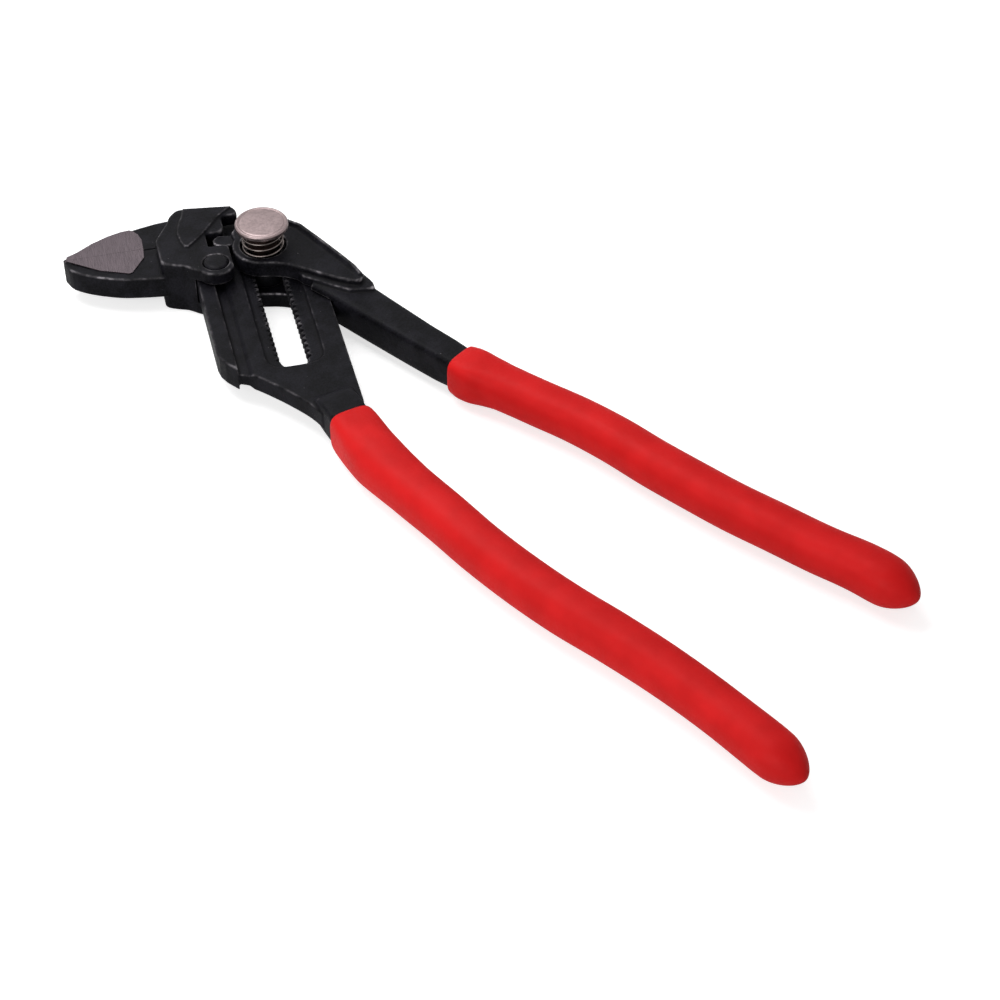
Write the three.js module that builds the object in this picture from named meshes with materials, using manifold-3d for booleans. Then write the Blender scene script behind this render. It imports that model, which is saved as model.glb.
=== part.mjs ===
// Push-button pliers wrench with smooth parallel jaws, lying on its back, in millimetres.
// A fixed lever carries the upper jaw, a plate with guide rails and a toothed slot, and a bar.
// A crossing lever straddles that plate on a sprung toothed bolt, and its two noses drive
// the jaw that slides on the rails. While it is modelled, Z is the bolt's axis, +Y is the
// closing direction along the rails, -X points at the jaw tips, and z = 0 is the joint's back.
import * as THREE from 'three';
import { mergeVertices } from 'three/addons/utils/BufferGeometryUtils.js';
import Module from 'manifold-3d';

const wasm = await Module();
wasm.setup();

// Handles: where each grip's mouth stands from the bolt, and its run from there to the grip's end
const fixedGripMouth = { x: 8.6, y: -66.4 };
const fixedHandleRun = { x: 66.7, y: 128.8 };
const crossGripMouth = { x: 38.8, y: -52.1 };
const crossHandleRun = { x: 77.4, y: 100.5 };

// Thicknesses, all centred on the middle plane of the joint
const headThickness = 14.5;
const plateThickness = 4.8;
const railThickness = 6.6;
const grooveWeb = 3.2;
const jawThickness = 6.2;
const barThickness = 9.1;
const noseThickness = 12.5;
const recessDepth = 0.6;
const groundStep = 0.2;
const edgeRound = 0.5;
const jawEdgeRound = 0.3;
const smallRound = 0.3;

// Clearances
const slideGap = 0.3;
const fitGap = 0.2;
const overrun = 3;

// Toothed slot
const slotWidth = 6.8;
const toothPitch = 2;
const toothDepth = 1;
const adjustSteps = 18;
const slotEndRoom = 7.5;
const slotEndRadius = 2.4;
const slotCornerDegrees = { left: [180, 270], right: [270, 360] };
const flatShare = 0.25;
const flankShare = 0.25;
const blockToothPlaces = [-1, 0, 1];

// Plate and rails of the fixed lever
const plateRight = 13.2;
const plateFoot = 63;
const plateCornerRadius = 6;
const railFace = 18.2;
const railWidth = 4.1;
const railEnd = 42.8;
const railEndRise = 8;
const grooveWidth = 2.4;
const grooveBevel = 1.1;
const grooveTop = 9;
const recessLeft = 6.9;
const recessRight = 7.6;
const recessRadius = 4.5;
const shankRight = 8.8;
const fixedBarWidth = 9.8;
const fixedBarRun = 13;

// Jaws
const seamHeight = 10.9;
const jawReach = 31.9;
const fixedJawRise = 10.8;
const slidingJawDrop = 13;
const tipRadius = 0.9;

// Crossing lever
const headRadius = 7.9;
const headTop = 12.2;
const shoulder = { x: 22.3, y: -20.8 };
const shoulderRadius = 2.4;
const noseTip = { x: -9.9, y: 5.5 };
const noseTipRadius = 2.3;
const swingDegrees = 16;
const curbWidth = 3.6;
const curbHeight = 1.2;
const ledgeReach = 2;
const ledgeDrop = 1.7;
const crossBarHeading = -58;
const crossBarWidth = 9.9;
const crossBarRun = 46.6;
const crossTangWidth = 8;

// Sliding jaw
const boxWall = 8.2;
const boxTop = 20.4;
const wallInner = 18.5;
const lobeRadius = 5.1;
const lobeCornerDrop = 7;
const armTip = 4.1;
const headClearance = 0.7;
const noseFloorGap = 0.6;
const padHeight = 0.6;
const cornerRadius = 1.2;

// Guide pins
const pinHeight = -4.4;
const pinRadius = 3.1;
const pinTipRadius = 0.9;
const frontPinProud = 0.35;
const backPinProud = -0.2;

// Bolt, thrust washer, button and spring
const stemRadius = 4;
const journalRadius = 4.6;
const flangeRadius = 6.2;
const flangeThickness = 1;
const flangeSink = 0.3;
const washerThickness = 0.6;
const washerRadius = 6.2;
const spigotRadius = 2.4;
const spigotHeight = 0.6;
const buttonRadius = 6.75;
const buttonTop = 21.4;
const buttonThickness = 1.5;
const buttonSocketDepth = 0.5;
const springRadius = 5.1;
const springWire = 0.6;
const springCurls = 3.75;
const springSeatDepth = 2;
const springSeatRadius = 5.9;

// Grips and the tangs inside them
const fixedGripWidth = 11.3;
const crossGripWidth = 10.8;
const tangPower = 5;
const barPower = 8;
const tangReachShare = 0.9;

// Counts of facets
const arcSteps = 10;
const curveSteps = 3;
const boltSides = 40;
const handleSides = 16;
const curlSteps = 8;
const wireSides = 5;

// Values worked out from the driving sizes
const middle = headThickness / 2;
const plateFront = middle + plateThickness / 2;
const plateBack = middle - plateThickness / 2;
const travel = toothPitch * adjustSteps;
const slotHalf = slotWidth / 2;
const slotTop = journalRadius + slideGap;
const railInner = railFace - railWidth;
const grooveInner = railInner - grooveWidth;
const boxReach = railFace + boxWall;
const tipReach = railFace + jawReach;
const swing = THREE.MathUtils.degToRad(swingDegrees);
const swungNose = {
  x: noseTip.x * Math.cos(swing) - noseTip.y * Math.sin(swing),
  y: noseTip.x * Math.sin(swing) + noseTip.y * Math.cos(swing),
};
const jawStroke = noseTip.y - swungNose.y;
const fixedSeam = seamHeight + slideGap / 2;
const slidingSeam = seamHeight - slideGap / 2;
const pinCentre = { x: -(railInner + grooveInner) / 2, y: pinHeight };
const socketCeiling = buttonTop - buttonThickness + buttonSocketDepth;
const origin = { x: 0, y: 0 };

// Outlines: a corner is [x, y] or [x, y, radius]
function roundedShape(corners) {
  const shape = new THREE.Shape();
  const points = corners.map(([x, y]) => new THREE.Vector2(x, y));
  points.forEach((corner, i) => {
    const before = points[(i + points.length - 1) % points.length].clone().sub(corner);
    const after = points[(i + 1) % points.length].clone().sub(corner);
    const radius = corners[i][2] ?? 0;
    const halfAngle = before.angleTo(after) / 2;
    const reach = Math.min(radius / Math.tan(halfAngle), before.length() / 2, after.length() / 2);
    const enter = corner.clone().add(before.setLength(reach));
    const leave = corner.clone().add(after.setLength(reach));
    if (i === 0) shape.moveTo(enter.x, enter.y);
    else shape.lineTo(enter.x, enter.y);
    if (radius > 0) shape.quadraticCurveTo(corner.x, corner.y, leave.x, leave.y);
  });
  shape.closePath();
  return shape;
}

function arc(centre, radius, from, to, steps = arcSteps) {
  const corners = [];
  for (let i = 0; i <= steps; i += 1) {
    const angle = THREE.MathUtils.degToRad(from + ((to - from) * i) / steps);
    corners.push([centre.x + radius * Math.cos(angle), centre.y + radius * Math.sin(angle)]);
  }
  return corners;
}

// Corners along a smooth curve through the given points
function smooth(points) {
  const curve = new THREE.SplineCurve(points.map(([x, y]) => new THREE.Vector2(x, y)));
  return curve.getPoints((points.length - 1) * curveSteps).map(({ x, y }) => [x, y]);
}

// Points given as shares of a width and a height, measured from a start; a corner's radius is a
// share of the height
function spread(shares, width, height, start = origin) {
  return shares.map(([x, y, radius = 0]) => [
    start.x + x * width, start.y + y * height, radius * Math.abs(height),
  ]);
}

// Solids from outlines
function slab(corners, low, high, edge = 0) {
  const geometry = new THREE.ExtrudeGeometry(roundedShape(corners), {
    depth: high - low - 2 * edge,
    bevelEnabled: edge > 0,
    bevelThickness: edge,
    bevelSize: edge,
    bevelOffset: -edge,
    bevelSegments: 2,
    curveSegments: curveSteps,
  });
  return geometry.translate(0, 0, low + edge);
}

function centredSlab(corners, thickness, edge = 0) {
  return slab(corners, middle - thickness / 2, middle + thickness / 2, edge);
}

// The same outline on the front and the back, from an inner thickness out to an outer one
function slabPair(corners, inner, outer, edge = 0) {
  const front = slab(corners, middle + inner / 2, middle + outer / 2, edge);
  const back = slab(corners, middle - outer / 2, middle - inner / 2, edge);
  return [front, back];
}

// A cross-section in X and Z that runs down from a height along -Y
function runAlongY(corners, top, length) {
  const geometry = new THREE.ExtrudeGeometry(roundedShape(corners), { depth: length, bevelEnabled: false });
  return geometry.rotateX(Math.PI / 2).translate(0, top, 0);
}

function revolve(profile, centre = origin) {
  const points = profile.map(([radius, height]) => new THREE.Vector2(radius, height));
  const geometry = new THREE.LatheGeometry(points, boltSides);
  return geometry.rotateX(Math.PI / 2).translate(centre.x, centre.y, 0);
}

function disc(radius, low, high, centre = origin) {
  return revolve([[0, low], [radius, low], [radius, high], [0, high]], centre);
}

// A closed skin through sections of [across, up], each square to its station's heading
function loft(stations) {
  const sides = stations[0].section.length;
  const ends = [stations[0], stations[stations.length - 1]];
  const hubs = ends.map(({ centre }) => ({ centre, section: [[0, 0]] }));
  const positions = [...stations, ...hubs].flatMap(({ centre, heading = 0, section }) =>
    section.flatMap(([across, up]) => [
      centre.x + across * Math.sin(heading),
      centre.y - across * Math.cos(heading),
      middle + up,
    ]));
  const firstHub = stations.length * sides;
  const lastRing = firstHub - sides;
  const index = [];
  for (let side = 0; side < sides; side += 1) {
    const next = (side + 1) % sides;
    for (let ring = 0; ring < lastRing; ring += sides) {
      index.push(ring + side, ring + sides + side, ring + next);
      index.push(ring + next, ring + sides + side, ring + sides + next);
    }
    index.push(firstHub, side, next);
    index.push(firstHub + 1, lastRing + next, lastRing + side);
  }
  return indexed(positions, index);
}

function indexed(positions, index) {
  const geometry = new THREE.BufferGeometry();
  geometry.setAttribute('position', new THREE.BufferAttribute(new Float32Array(positions), 3));
  geometry.setIndex(index);
  return geometry;
}

// A rounded section: power 2 is an ellipse, and a higher power is nearer to a rectangle
function roundSection(width, height, power) {
  const section = [];
  for (let i = 0; i < handleSides; i += 1) {
    const angle = (2 * Math.PI * (i + 0.5)) / handleSides;
    const across = Math.sign(Math.cos(angle)) * Math.abs(Math.cos(angle)) ** (2 / power);
    const up = Math.sign(Math.sin(angle)) * Math.abs(Math.sin(angle)) ** (2 / power);
    section.push([(across * width) / 2, (up * height) / 2]);
  }
  return section;
}

// Booleans on closed meshes
function solid(geometry) {
  const plain = geometry.clone();
  plain.deleteAttribute('normal');
  plain.deleteAttribute('uv');
  const merged = mergeVertices(plain);
  const corners = merged.index.array;
  const triVerts = [];
  for (let i = 0; i < corners.length; i += 3) {
    const [a, b, c] = corners.slice(i, i + 3);
    if (a !== b && b !== c && c !== a) triVerts.push(a, b, c);
  }
  const vertProperties = new Float32Array(merged.attributes.position.array);
  const mesh = new wasm.Mesh({ numProp: 3, vertProperties, triVerts: new Uint32Array(triVerts) });
  return new wasm.Manifold(mesh);
}

function join(...geometries) {
  return geometries.map(solid).reduce((whole, piece) => whole.add(piece));
}

function cut(body, ...geometries) {
  return geometries.map(solid).reduce((whole, piece) => whole.subtract(piece), body);
}

function toGeometry(body) {
  const { vertProperties, triVerts } = body.getMesh();
  const geometry = indexed([...vertProperties], [...triVerts]).toNonIndexed();
  geometry.computeVertexNormals();
  return geometry;
}

// Middle line of each handle, as shares of its run from the mouth of the grip to its end
const fixedHandleShares = [
  [0, 0], [0.016, 0.033], [0.052, 0.098], [0.13, 0.192], [0.215, 0.283], [0.298, 0.376], [0.39, 0.465],
  [0.493, 0.552], [0.606, 0.635], [0.714, 0.72], [0.813, 0.808], [0.904, 0.899], [1, 1],
];
const crossHandleShares = [
  [0, 0], [0.029, 0.031], [0.097, 0.085], [0.194, 0.171], [0.291, 0.257], [0.378, 0.349], [0.457, 0.446],
  [0.54, 0.539], [0.626, 0.632], [0.719, 0.721], [0.811, 0.81], [0.908, 0.895], [1, 1],
];

function handleCurve(mouth, run, shares) {
  const points = shares.map(([x, y]) => new THREE.Vector3(mouth.x + x * run.x, mouth.y - y * run.y, 0));
  return new THREE.CatmullRomCurve3(points, false, 'centripetal');
}

function stationAt(curve, share, section) {
  const tangent = curve.getTangentAt(share);
  return { centre: curve.getPointAt(share), heading: Math.atan2(tangent.y, tangent.x), section };
}

// A grip is squarer and swells near its mouth, and it is round at its blunt end: share of its
// length, share of the fixed and of the crossing grip's width, and the power of its section
const gripSwellShares = [
  [0, 0.99, 0.965, 4], [0.008, 1.012, 0.985, 4], [0.022, 1.038, 1.045, 4], [0.045, 1.072, 1.073, 3.4],
  [0.07, 1.102, 1.032, 2.9], [0.1, 1.14, 1.003, 2.5], [0.14, 1.086, 0.988, 2.5],
  [0.18, 1.04, 0.985, 2.5], [0.23, 1.025, 0.986, 2.5], [0.3, 1.01, 0.995, 2.5],
  [0.38, 0.998, 1.005, 2.5], [0.46, 0.995, 1.006, 2.5], [0.54, 0.989, 1.005, 2.5],
  [0.62, 0.974, 1.002, 2.5], [0.7, 0.958, 0.998, 2.5], [0.78, 0.94, 0.995, 2.5],
  [0.85, 0.93, 0.998, 2.5], [0.9, 0.94, 1.025, 2.5], [0.93, 0.945, 1.037, 2.4],
  [0.955, 0.92, 1, 2.3], [0.975, 0.83, 0.9, 2.2], [0.99, 0.65, 0.7, 2.1], [1, 0.36, 0.4, 2],
];

// A tang narrows inside its grip: share of its length, share of its width, share of its thickness
const tangShares = [
  [0, 1, 1], [0.04, 0.94, 0.95], [0.1, 0.84, 0.88], [0.18, 0.77, 0.84], [0.27, 0.74, 0.82],
  [0.37, 0.72, 0.8], [0.48, 0.7, 0.79], [0.6, 0.69, 0.78], [0.72, 0.68, 0.76],
  [0.84, 0.66, 0.74], [0.94, 0.62, 0.7], [1, 0.5, 0.56],
];

function tangStations(curve, tangWidth, clearance = 0) {
  const end = clearance / curve.getLength();
  return tangShares.map(([share, widthShare, heightShare], i) => {
    const width = tangWidth * widthShare + 2 * clearance;
    const height = barThickness * heightShare + 2 * clearance;
    const past = i === tangShares.length - 1 ? end : 0;
    return stationAt(curve, share * tangReachShare + past, roundSection(width, height, tangPower));
  });
}

// One skin: from the bottom of the hollow out to the mouth, and back along the outside to the end
function grip(curve, swells, gripWidth, tangWidth) {
  const outside = swells.map(([share, swell, power]) =>
    stationAt(curve, share, roundSection(gripWidth * swell, gripWidth * swell, power)));
  return loft([...tangStations(curve, tangWidth, slideGap).reverse(), ...outside]);
}

function fixedGrip() {
  const swells = gripSwellShares.map(([share, swell, , power]) => [share, swell, power]);
  return grip(fixedCurve, swells, fixedGripWidth, fixedBarWidth);
}

function crossGrip() {
  const swells = gripSwellShares.map(([share, , swell, power]) => [share, swell, power]);
  return grip(crossCurve, swells, crossGripWidth, crossTangWidth);
}

const fixedCurve = handleCurve(fixedGripMouth, fixedHandleRun, fixedHandleShares);
const crossCurve = handleCurve(crossGripMouth, crossHandleRun, crossHandleShares);

// Jaws: the outer edge of each runs from the tip to its root, as shares of its reach and its height
const fixedJawShares = [
  [0.985, 0.085], [0.94, 0.115], [0.897, 0.16], [0.765, 0.43], [0.62, 0.64], [0.464, 0.79], [0.307, 0.91],
  [0.169, 0.985], [0, 1], [-0.18, 0.93], [-0.29, 0.82],
];
const slidingJawShares = [
  [0.985, 0.13], [0.944, 0.34], [0.81, 0.59], [0.61, 0.82], [0.464, 0.91], [0.313, 0.975], [0.2, 1],
];

function jawEdge(shares, seam, height) {
  return smooth(spread(shares, -jawReach, height, { x: -railFace, y: seam }));
}

// Ground plateaus: both faces of each jaw are ground flat from the tip to a curved boundary
const fixedGroundShares = [[0.965, 0.12], [0.88, 0.24], [0.75, 0.5], [0.61, 0.7], [0.5, 0.8], [0.43, 0.82]];
const fixedGroundRootShares = [[0.4, 0.75], [0.37, 0.6], [0.35, 0.38], [0.354, 0.02]];
const slidingGroundShares = [[0.354, 0.02], [0.364, 0.265], [0.48, 0.69]];
const slidingGroundTipShares = [[0.505, 0.71, 0.06], [0.73, 0.47], [0.985, 0.075]];

function groundFaces(corners) {
  return centredSlab(corners, jawThickness + 2 * groundStep);
}

function fixedGround() {
  const tip = [-tipReach + tipRadius, fixedSeam + smallRound];
  const start = { x: -railFace, y: fixedSeam };
  return groundFaces([
    tip, ...spread([...fixedGroundRootShares].reverse(), -jawReach, fixedJawRise, start),
    ...spread([...fixedGroundShares].reverse(), -jawReach, fixedJawRise, start),
  ]);
}

function slidingGround() {
  const start = { x: -railFace, y: slidingSeam };
  return groundFaces([
    ...spread([...slidingGroundTipShares].reverse(), -jawReach, -slidingJawDrop, start),
    ...spread([...slidingGroundShares].reverse(), -jawReach, -slidingJawDrop, start),
  ]);
}

// Fixed lever: jaw, shank, plate with rails and toothed slot, bar and tang
const footShares = [[0, 0], [0.08, 0.055], [0.17, 0.17], [0.33, 0.42], [0.48, 0.69], [0.555, 0.86], [0.6, 1]];
const railEndShares = [[0, 0.98], [0.1, 0.68], [0.38, 0.38], [0.7, 0.16], [1, -0.04]];
const fixedBarShares = [[1, 1.06, 0.5], [0.84, 1.04, 0.55], [0.66, 1, 0.9], [0.4, 1, 1], [0.1, 1, 1]];
const plateTopShares = [[1, -0.18], [0.72, 0.25], [0.42, 0.5], [0, 0.73], [-0.6, 0.89]];

function fixedPlate() {
  const footStart = { x: -(railInner - smallRound), y: -(railEnd + smallRound) };
  const foot = spread(footShares, plateRight - footStart.x, -(plateFoot + footStart.y), footStart);
  const jawTop = fixedSeam + fixedJawRise;
  const top = spread(plateTopShares, plateRight, jawTop).map(([x, y]) => [x, y, plateCornerRadius]);
  return centredSlab([
    ...smooth(foot), [plateRight - smallRound, -plateFoot], [plateRight, -plateFoot + overrun],
    ...top, [-railInner, jawTop - edgeRound],
  ], plateThickness, smallRound);
}

function fixedBar() {
  const mouth = fixedCurve.getPointAt(0);
  const direction = fixedCurve.getTangentAt(0);
  const stations = fixedBarShares.map(([back, width, height]) => ({
    centre: mouth.clone().addScaledVector(direction, -back * fixedBarRun),
    heading: Math.atan2(direction.y, direction.x),
    section: roundSection(fixedBarWidth * width, barThickness * height, barPower),
  }));
  return loft([...stations, ...tangStations(fixedCurve, fixedBarWidth)]);
}

function grooves() {
  const section = (side) => {
    const floor = middle + side * (grooveWeb / 2);
    const lip = middle + side * (plateThickness / 2);
    const clear = middle + side * headThickness;
    const corners = [
      [-railInner, floor], [-grooveInner, floor], [-grooveInner + grooveBevel, lip],
      [-grooveInner + grooveBevel, clear], [-railInner, clear],
    ];
    return side > 0 ? corners : corners.reverse();
  };
  return [1, -1].map((side) => runAlongY(section(side), grooveTop, grooveTop + railEnd + overrun));
}

// Teeth down one side of the slot, from the top: a flat tip, a flank, a flat root and a flank
function slotTeeth(top, count, side) {
  const corners = [];
  for (let i = 0; i < count; i += 1) {
    const tip = top - i * toothPitch;
    const root = tip - toothPitch * (flatShare + flankShare);
    corners.push([side * slotHalf, tip], [side * slotHalf, tip - toothPitch * flatShare]);
    corners.push([side * (slotHalf + toothDepth), root]);
    corners.push([side * (slotHalf + toothDepth), root - toothPitch * flatShare]);
  }
  corners.push([side * slotHalf, top - count * toothPitch]);
  return corners;
}

function slotCorner(side, bottom, degrees) {
  const centre = { x: side * (slotHalf - slotEndRadius), y: bottom + slotEndRadius };
  return arc(centre, slotEndRadius, ...degrees, arcSteps / 2);
}

function toothedSlot() {
  const tipToRootShare = flatShare + flankShare + flatShare / 2;
  const top = toothPitch * (Math.max(...blockToothPlaces) + tipToRootShare);
  const bottom = -(travel + slotEndRoom);
  const count = Math.floor((top - bottom - slotEndRadius) / toothPitch);
  return centredSlab([
    [slotHalf, slotTop, smallRound], [-slotHalf, slotTop, smallRound],
    ...slotTeeth(top, count, -1), ...slotCorner(-1, bottom, slotCornerDegrees.left),
    ...slotCorner(1, bottom, slotCornerDegrees.right), ...slotTeeth(top, count, 1).reverse(),
  ], headThickness);
}

function fixedJawLever() {
  const edge = jawEdge(fixedJawShares, fixedSeam, fixedJawRise);
  const jaw = [
    [-tipReach, fixedSeam + tipRadius / 2], [-tipReach + tipRadius / 2, fixedSeam],
    [-shankRight, fixedSeam, tipRadius], ...edge.reverse(),
  ];
  const rail = [
    ...spread(railEndShares, railWidth, railEndRise, { x: -railFace, y: -railEnd }),
    [-railInner, fixedSeam + fixedJawRise / 2], [-railFace, fixedSeam + fixedJawRise / 2],
  ];
  const recessBottom = -(travel + slotEndRoom);
  const recess = [
    [-recessLeft, recessBottom, recessRadius], [recessRight, recessBottom, recessRadius],
    [recessRight, slotTop + overrun, recessRadius], [-recessLeft, slotTop + overrun, recessRadius],
  ];
  const body = join(
    centredSlab(jaw, jawThickness, jawEdgeRound), fixedPlate(), centredSlab(rail, railThickness, smallRound),
    fixedBar(), fixedGround(),
  );
  const faceRecess = slabPair(recess, plateThickness - 2 * recessDepth, headThickness);
  return toGeometry(cut(body, ...grooves(), ...faceRecess, toothedSlot()));
}

// Sliding jaw: jaw, box wall beside the rails, front and back cheeks with lobes, notches and arms
const cheekLowerShares = [[1, 0.09], [0.97, 0.198], [0.883, 0.323], [0.799, 0.417], [0.716, 0.615]];
const cheekUpperShares = [
  [0.163, 0.828, 0.05], [0.189, 0.897, 0.06], [0.367, 0.951, 0.59], [0.663, 0.995, 0.39], [0.735, 0.995, 0.1],
  [0.818, 0.873, 0.15], [0.856, 0.74, 0.29], [0.909, 0.627, 0.25], [1, 0.42, 0.2],
];
const padRightShares = [
  [0.2, 0.87], [0.273, 0.79], [0.348, 0.7], [0.413, 0.593], [0.549, 0.363], [0.712, 0.15],
];
const padLeftShares = [
  [0.746, 0.162], [0.765, 0.265], [0.777, 0.387], [0.777, 0.505], [0.742, 0.672], [0.701, 0.809],
  [0.667, 0.96],
];
const wallTopShare = 0.2;
const lobeDegrees = [212, 305];

function cheekOutline() {
  const right = -(headRadius + headClearance);
  const notchFloor = noseTip.y - noseTipRadius - noseFloorGap;
  const notchCeiling = noseTip.y + noseTipRadius + slideGap;
  const notchWall = swungNose.x - noseTipRadius - slideGap;
  const armFloor = jawStroke + Math.sqrt((headTop + slideGap) ** 2 - armTip ** 2);
  const lower = spread(cheekLowerShares, -boxReach, pinHeight - lobeRadius);
  const upper = spread(cheekUpperShares, -boxReach, boxTop);
  return [
    ...smooth(lower), ...arc(pinCentre, lobeRadius, ...lobeDegrees),
    [right, -lobeCornerDrop, cornerRadius], [right, notchFloor, cornerRadius],
    [notchWall, notchFloor, cornerRadius / 2], [notchWall, notchCeiling, cornerRadius / 2],
    [right - headClearance, notchCeiling, cornerRadius], [right, notchCeiling + noseTipRadius, cornerRadius],
    [right, armFloor, cornerRadius], [-armTip, armFloor, cornerRadius], ...upper,
  ];
}

function slidingJaw() {
  const jaw = [
    ...jawEdge(slidingJawShares, slidingSeam, -slidingJawDrop), [-wallInner - boxWall / 2, 0],
    [-wallInner - boxWall / 2, slidingSeam], [-tipReach + tipRadius / 2, slidingSeam],
    [-tipReach, slidingSeam - tipRadius / 2],
  ];
  const lower = spread(cheekLowerShares, -boxReach, pinHeight - lobeRadius);
  const wall = [
    ...smooth(lower.slice(0, -1)), [-wallInner, lower[lower.length - 1][1]], [-wallInner, slidingSeam],
    [-boxReach + boxWall * wallTopShare, slidingSeam],
    [-boxReach, boxTop * cheekUpperShares[cheekUpperShares.length - 1][1], cornerRadius],
  ];
  const pad = [padRightShares, padLeftShares].flatMap((side) => smooth(spread(side, -boxReach, boxTop)));
  const cheeks = slabPair(cheekOutline(), railThickness + 2 * slideGap, headThickness, edgeRound);
  const padTop = headThickness + padHeight;
  const body = join(
    ...cheeks, centredSlab(wall, headThickness, edgeRound), centredSlab(jaw, jawThickness, jawEdgeRound),
    slab(pad, headThickness - edgeRound, padTop), slidingGround(),
  );
  return toGeometry(cut(body, disc(pinRadius + fitGap, -overrun, headThickness + overrun, pinCentre)));
}

// A guide pin fills its bore in a cheek, and its tip runs in the groove; side 1 is the front
function guidePin(side) {
  const tip = grooveWeb / 2 + slideGap;
  const inner = railThickness / 2 + slideGap + smallRound / 2;
  const outer = headThickness / 2 + (side > 0 ? frontPinProud : backPinProud);
  const profile = [
    [0, middle + tip], [pinTipRadius, middle + tip],
    [pinTipRadius, middle + inner], [pinRadius, middle + inner],
    [pinRadius, middle + outer - smallRound], [pinRadius - smallRound, middle + outer], [0, middle + outer],
  ];
  const mirrored = profile.map(([radius, height]) => [radius, 2 * middle - height]).reverse();
  return toGeometry(solid(revolve(side > 0 ? profile : mirrored, pinCentre)));
}

// Crossing lever: two cheeks joined by a bridge beside the plate, noses, curb, bar and tang
const headLowerShares = [
  [0.036, 0.394], [0.175, 0.452], [0.345, 0.582], [0.516, 0.731], [0.673, 0.861], [0.8, 0.955],
];
const headRimShares = [
  [1, 0.89], [0.969, 0.793], [0.87, 0.558], [0.749, 0.284], [0.637, 0.043], [0.484, -0.279], [0.426, -0.389],
];
const crossBarShares = [
  [1, -0.18, 0.87], [0.9, -0.1, 0.96], [0.8, -0.037, 1.03], [0.6, -0.043, 0.97], [0.28, -0.043, 0.86],
  [0.1, -0.02, 0.82],
];
const ledgeShares = { lower: headLowerShares.slice(2), rim: headRimShares.slice(0, 3) };
const headCornerShares = [[-0.7, 0.76, 0.1], [-0.9, 0.58, 0.1]];
const headBackDegrees = [150, 250];
const headTopDegrees = [50, 107];
const noseDegrees = [80, 280];

function headOutline() {
  const rim = smooth(spread(headRimShares, shoulder.x, shoulder.y));
  return [
    ...arc(origin, headRadius, ...headBackDegrees),
    ...smooth(spread(headLowerShares, shoulder.x, shoulder.y)),
    [shoulder.x - shoulderRadius / 2, shoulder.y - smallRound, shoulderRadius], ...rim,
    ...arc(origin, headTop, ...headTopDegrees), ...spread(headCornerShares, headRadius, headTop),
  ];
}

// A lower ledge round the head's shoulder leads down to the bar
function ledge() {
  const grown = (shoulder.x + ledgeReach) / shoulder.x;
  const lower = spread(ledgeShares.lower, shoulder.x, shoulder.y - ledgeReach);
  const rim = spread(ledgeShares.rim, shoulder.x * grown, shoulder.y * grown);
  return [
    ...smooth(lower), [shoulder.x * grown, shoulder.y - ledgeReach, shoulderRadius],
    ...smooth(rim), [0, 0],
  ];
}

function nose() {
  return [
    ...arc(noseTip, noseTipRadius, ...noseDegrees),
    [-headRadius / 2, noseTip.y - noseTipRadius - smallRound],
    [-headRadius / 2, noseTip.y + noseTipRadius / 2],
  ];
}

// The curb stands on the outer rim of the front cheek, and its inner side is dished
const curbProfileShares = [
  [0.08, 0], [1, 0], [0.8, 0.06], [0.62, 0.22], [0.47, 0.55], [0.38, 0.9], [0.3, 1], [0.12, 0.9],
];
const curbTaperShares = [
  [0, 0.5], [0.08, 0.9], [0.2, 1], [0.4, 1], [0.6, 1], [0.8, 1], [0.92, 0.95], [1, 0.6],
];

function curb() {
  const top = arc(origin, headTop, headTopDegrees[1], headTopDegrees[0], arcSteps / 2);
  const rim = smooth(spread([...headRimShares].reverse(), shoulder.x, shoulder.y));
  const line = [...top, ...rim].map(([x, y]) => new THREE.Vector3(x, y, 0));
  const curve = new THREE.CatmullRomCurve3(line, false, 'centripetal');
  const foot = headThickness / 2 - smallRound;
  return loft(curbTaperShares.map(([share, taper]) => {
    const height = curbHeight * taper + smallRound;
    const section = curbProfileShares.map(([across, up]) => [across * curbWidth, foot + up * height]);
    return stationAt(curve, share, section);
  }));
}

function crossBar() {
  const heading = THREE.MathUtils.degToRad(crossBarHeading);
  const direction = new THREE.Vector3(Math.cos(heading), Math.sin(heading), 0);
  const side = new THREE.Vector3(-direction.y, direction.x, 0);
  const mouth = crossCurve.getPointAt(0);
  const stations = crossBarShares.map(([back, offset, width]) => ({
    centre: mouth.clone().addScaledVector(direction, -back * crossBarRun)
      .addScaledVector(side, offset * crossBarWidth),
    heading,
    section: roundSection(crossBarWidth * width, barThickness, barPower),
  }));
  return loft([...stations, ...tangStations(crossCurve, crossTangWidth)]);
}

// The plate passes between the cheeks at rest and at the full swing
function platePassage() {
  const edge = plateRight + slideGap;
  const turn = (edge * (Math.cos(swing) - 1)) / Math.sin(swing);
  const far = headTop + overrun;
  const reach = -(shoulder.y - overrun) * 2;
  return centredSlab([
    [edge, -reach], [edge, turn], [(edge + far * Math.sin(swing)) / Math.cos(swing), far],
    [-reach, far], [-reach, -reach],
  ], plateThickness + 2 * slideGap);
}

function crossingLever() {
  const body = join(
    slab(headOutline(), 0, headThickness, edgeRound), centredSlab(nose(), noseThickness, edgeRound),
    centredSlab(ledge(), headThickness - 2 * ledgeDrop, edgeRound), crossBar(), curb(),
  );
  const counterbore = flangeSink + flangeThickness + washerThickness + 2 * slideGap;
  return toGeometry(cut(
    body, platePassage(),
    disc(journalRadius + slideGap, -overrun, plateFront + smallRound),
    disc(washerRadius + slideGap, -overrun, counterbore),
    disc(stemRadius + slideGap, middle, buttonTop),
    disc(springSeatRadius, headThickness - springSeatDepth, buttonTop),
  ));
}

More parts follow.
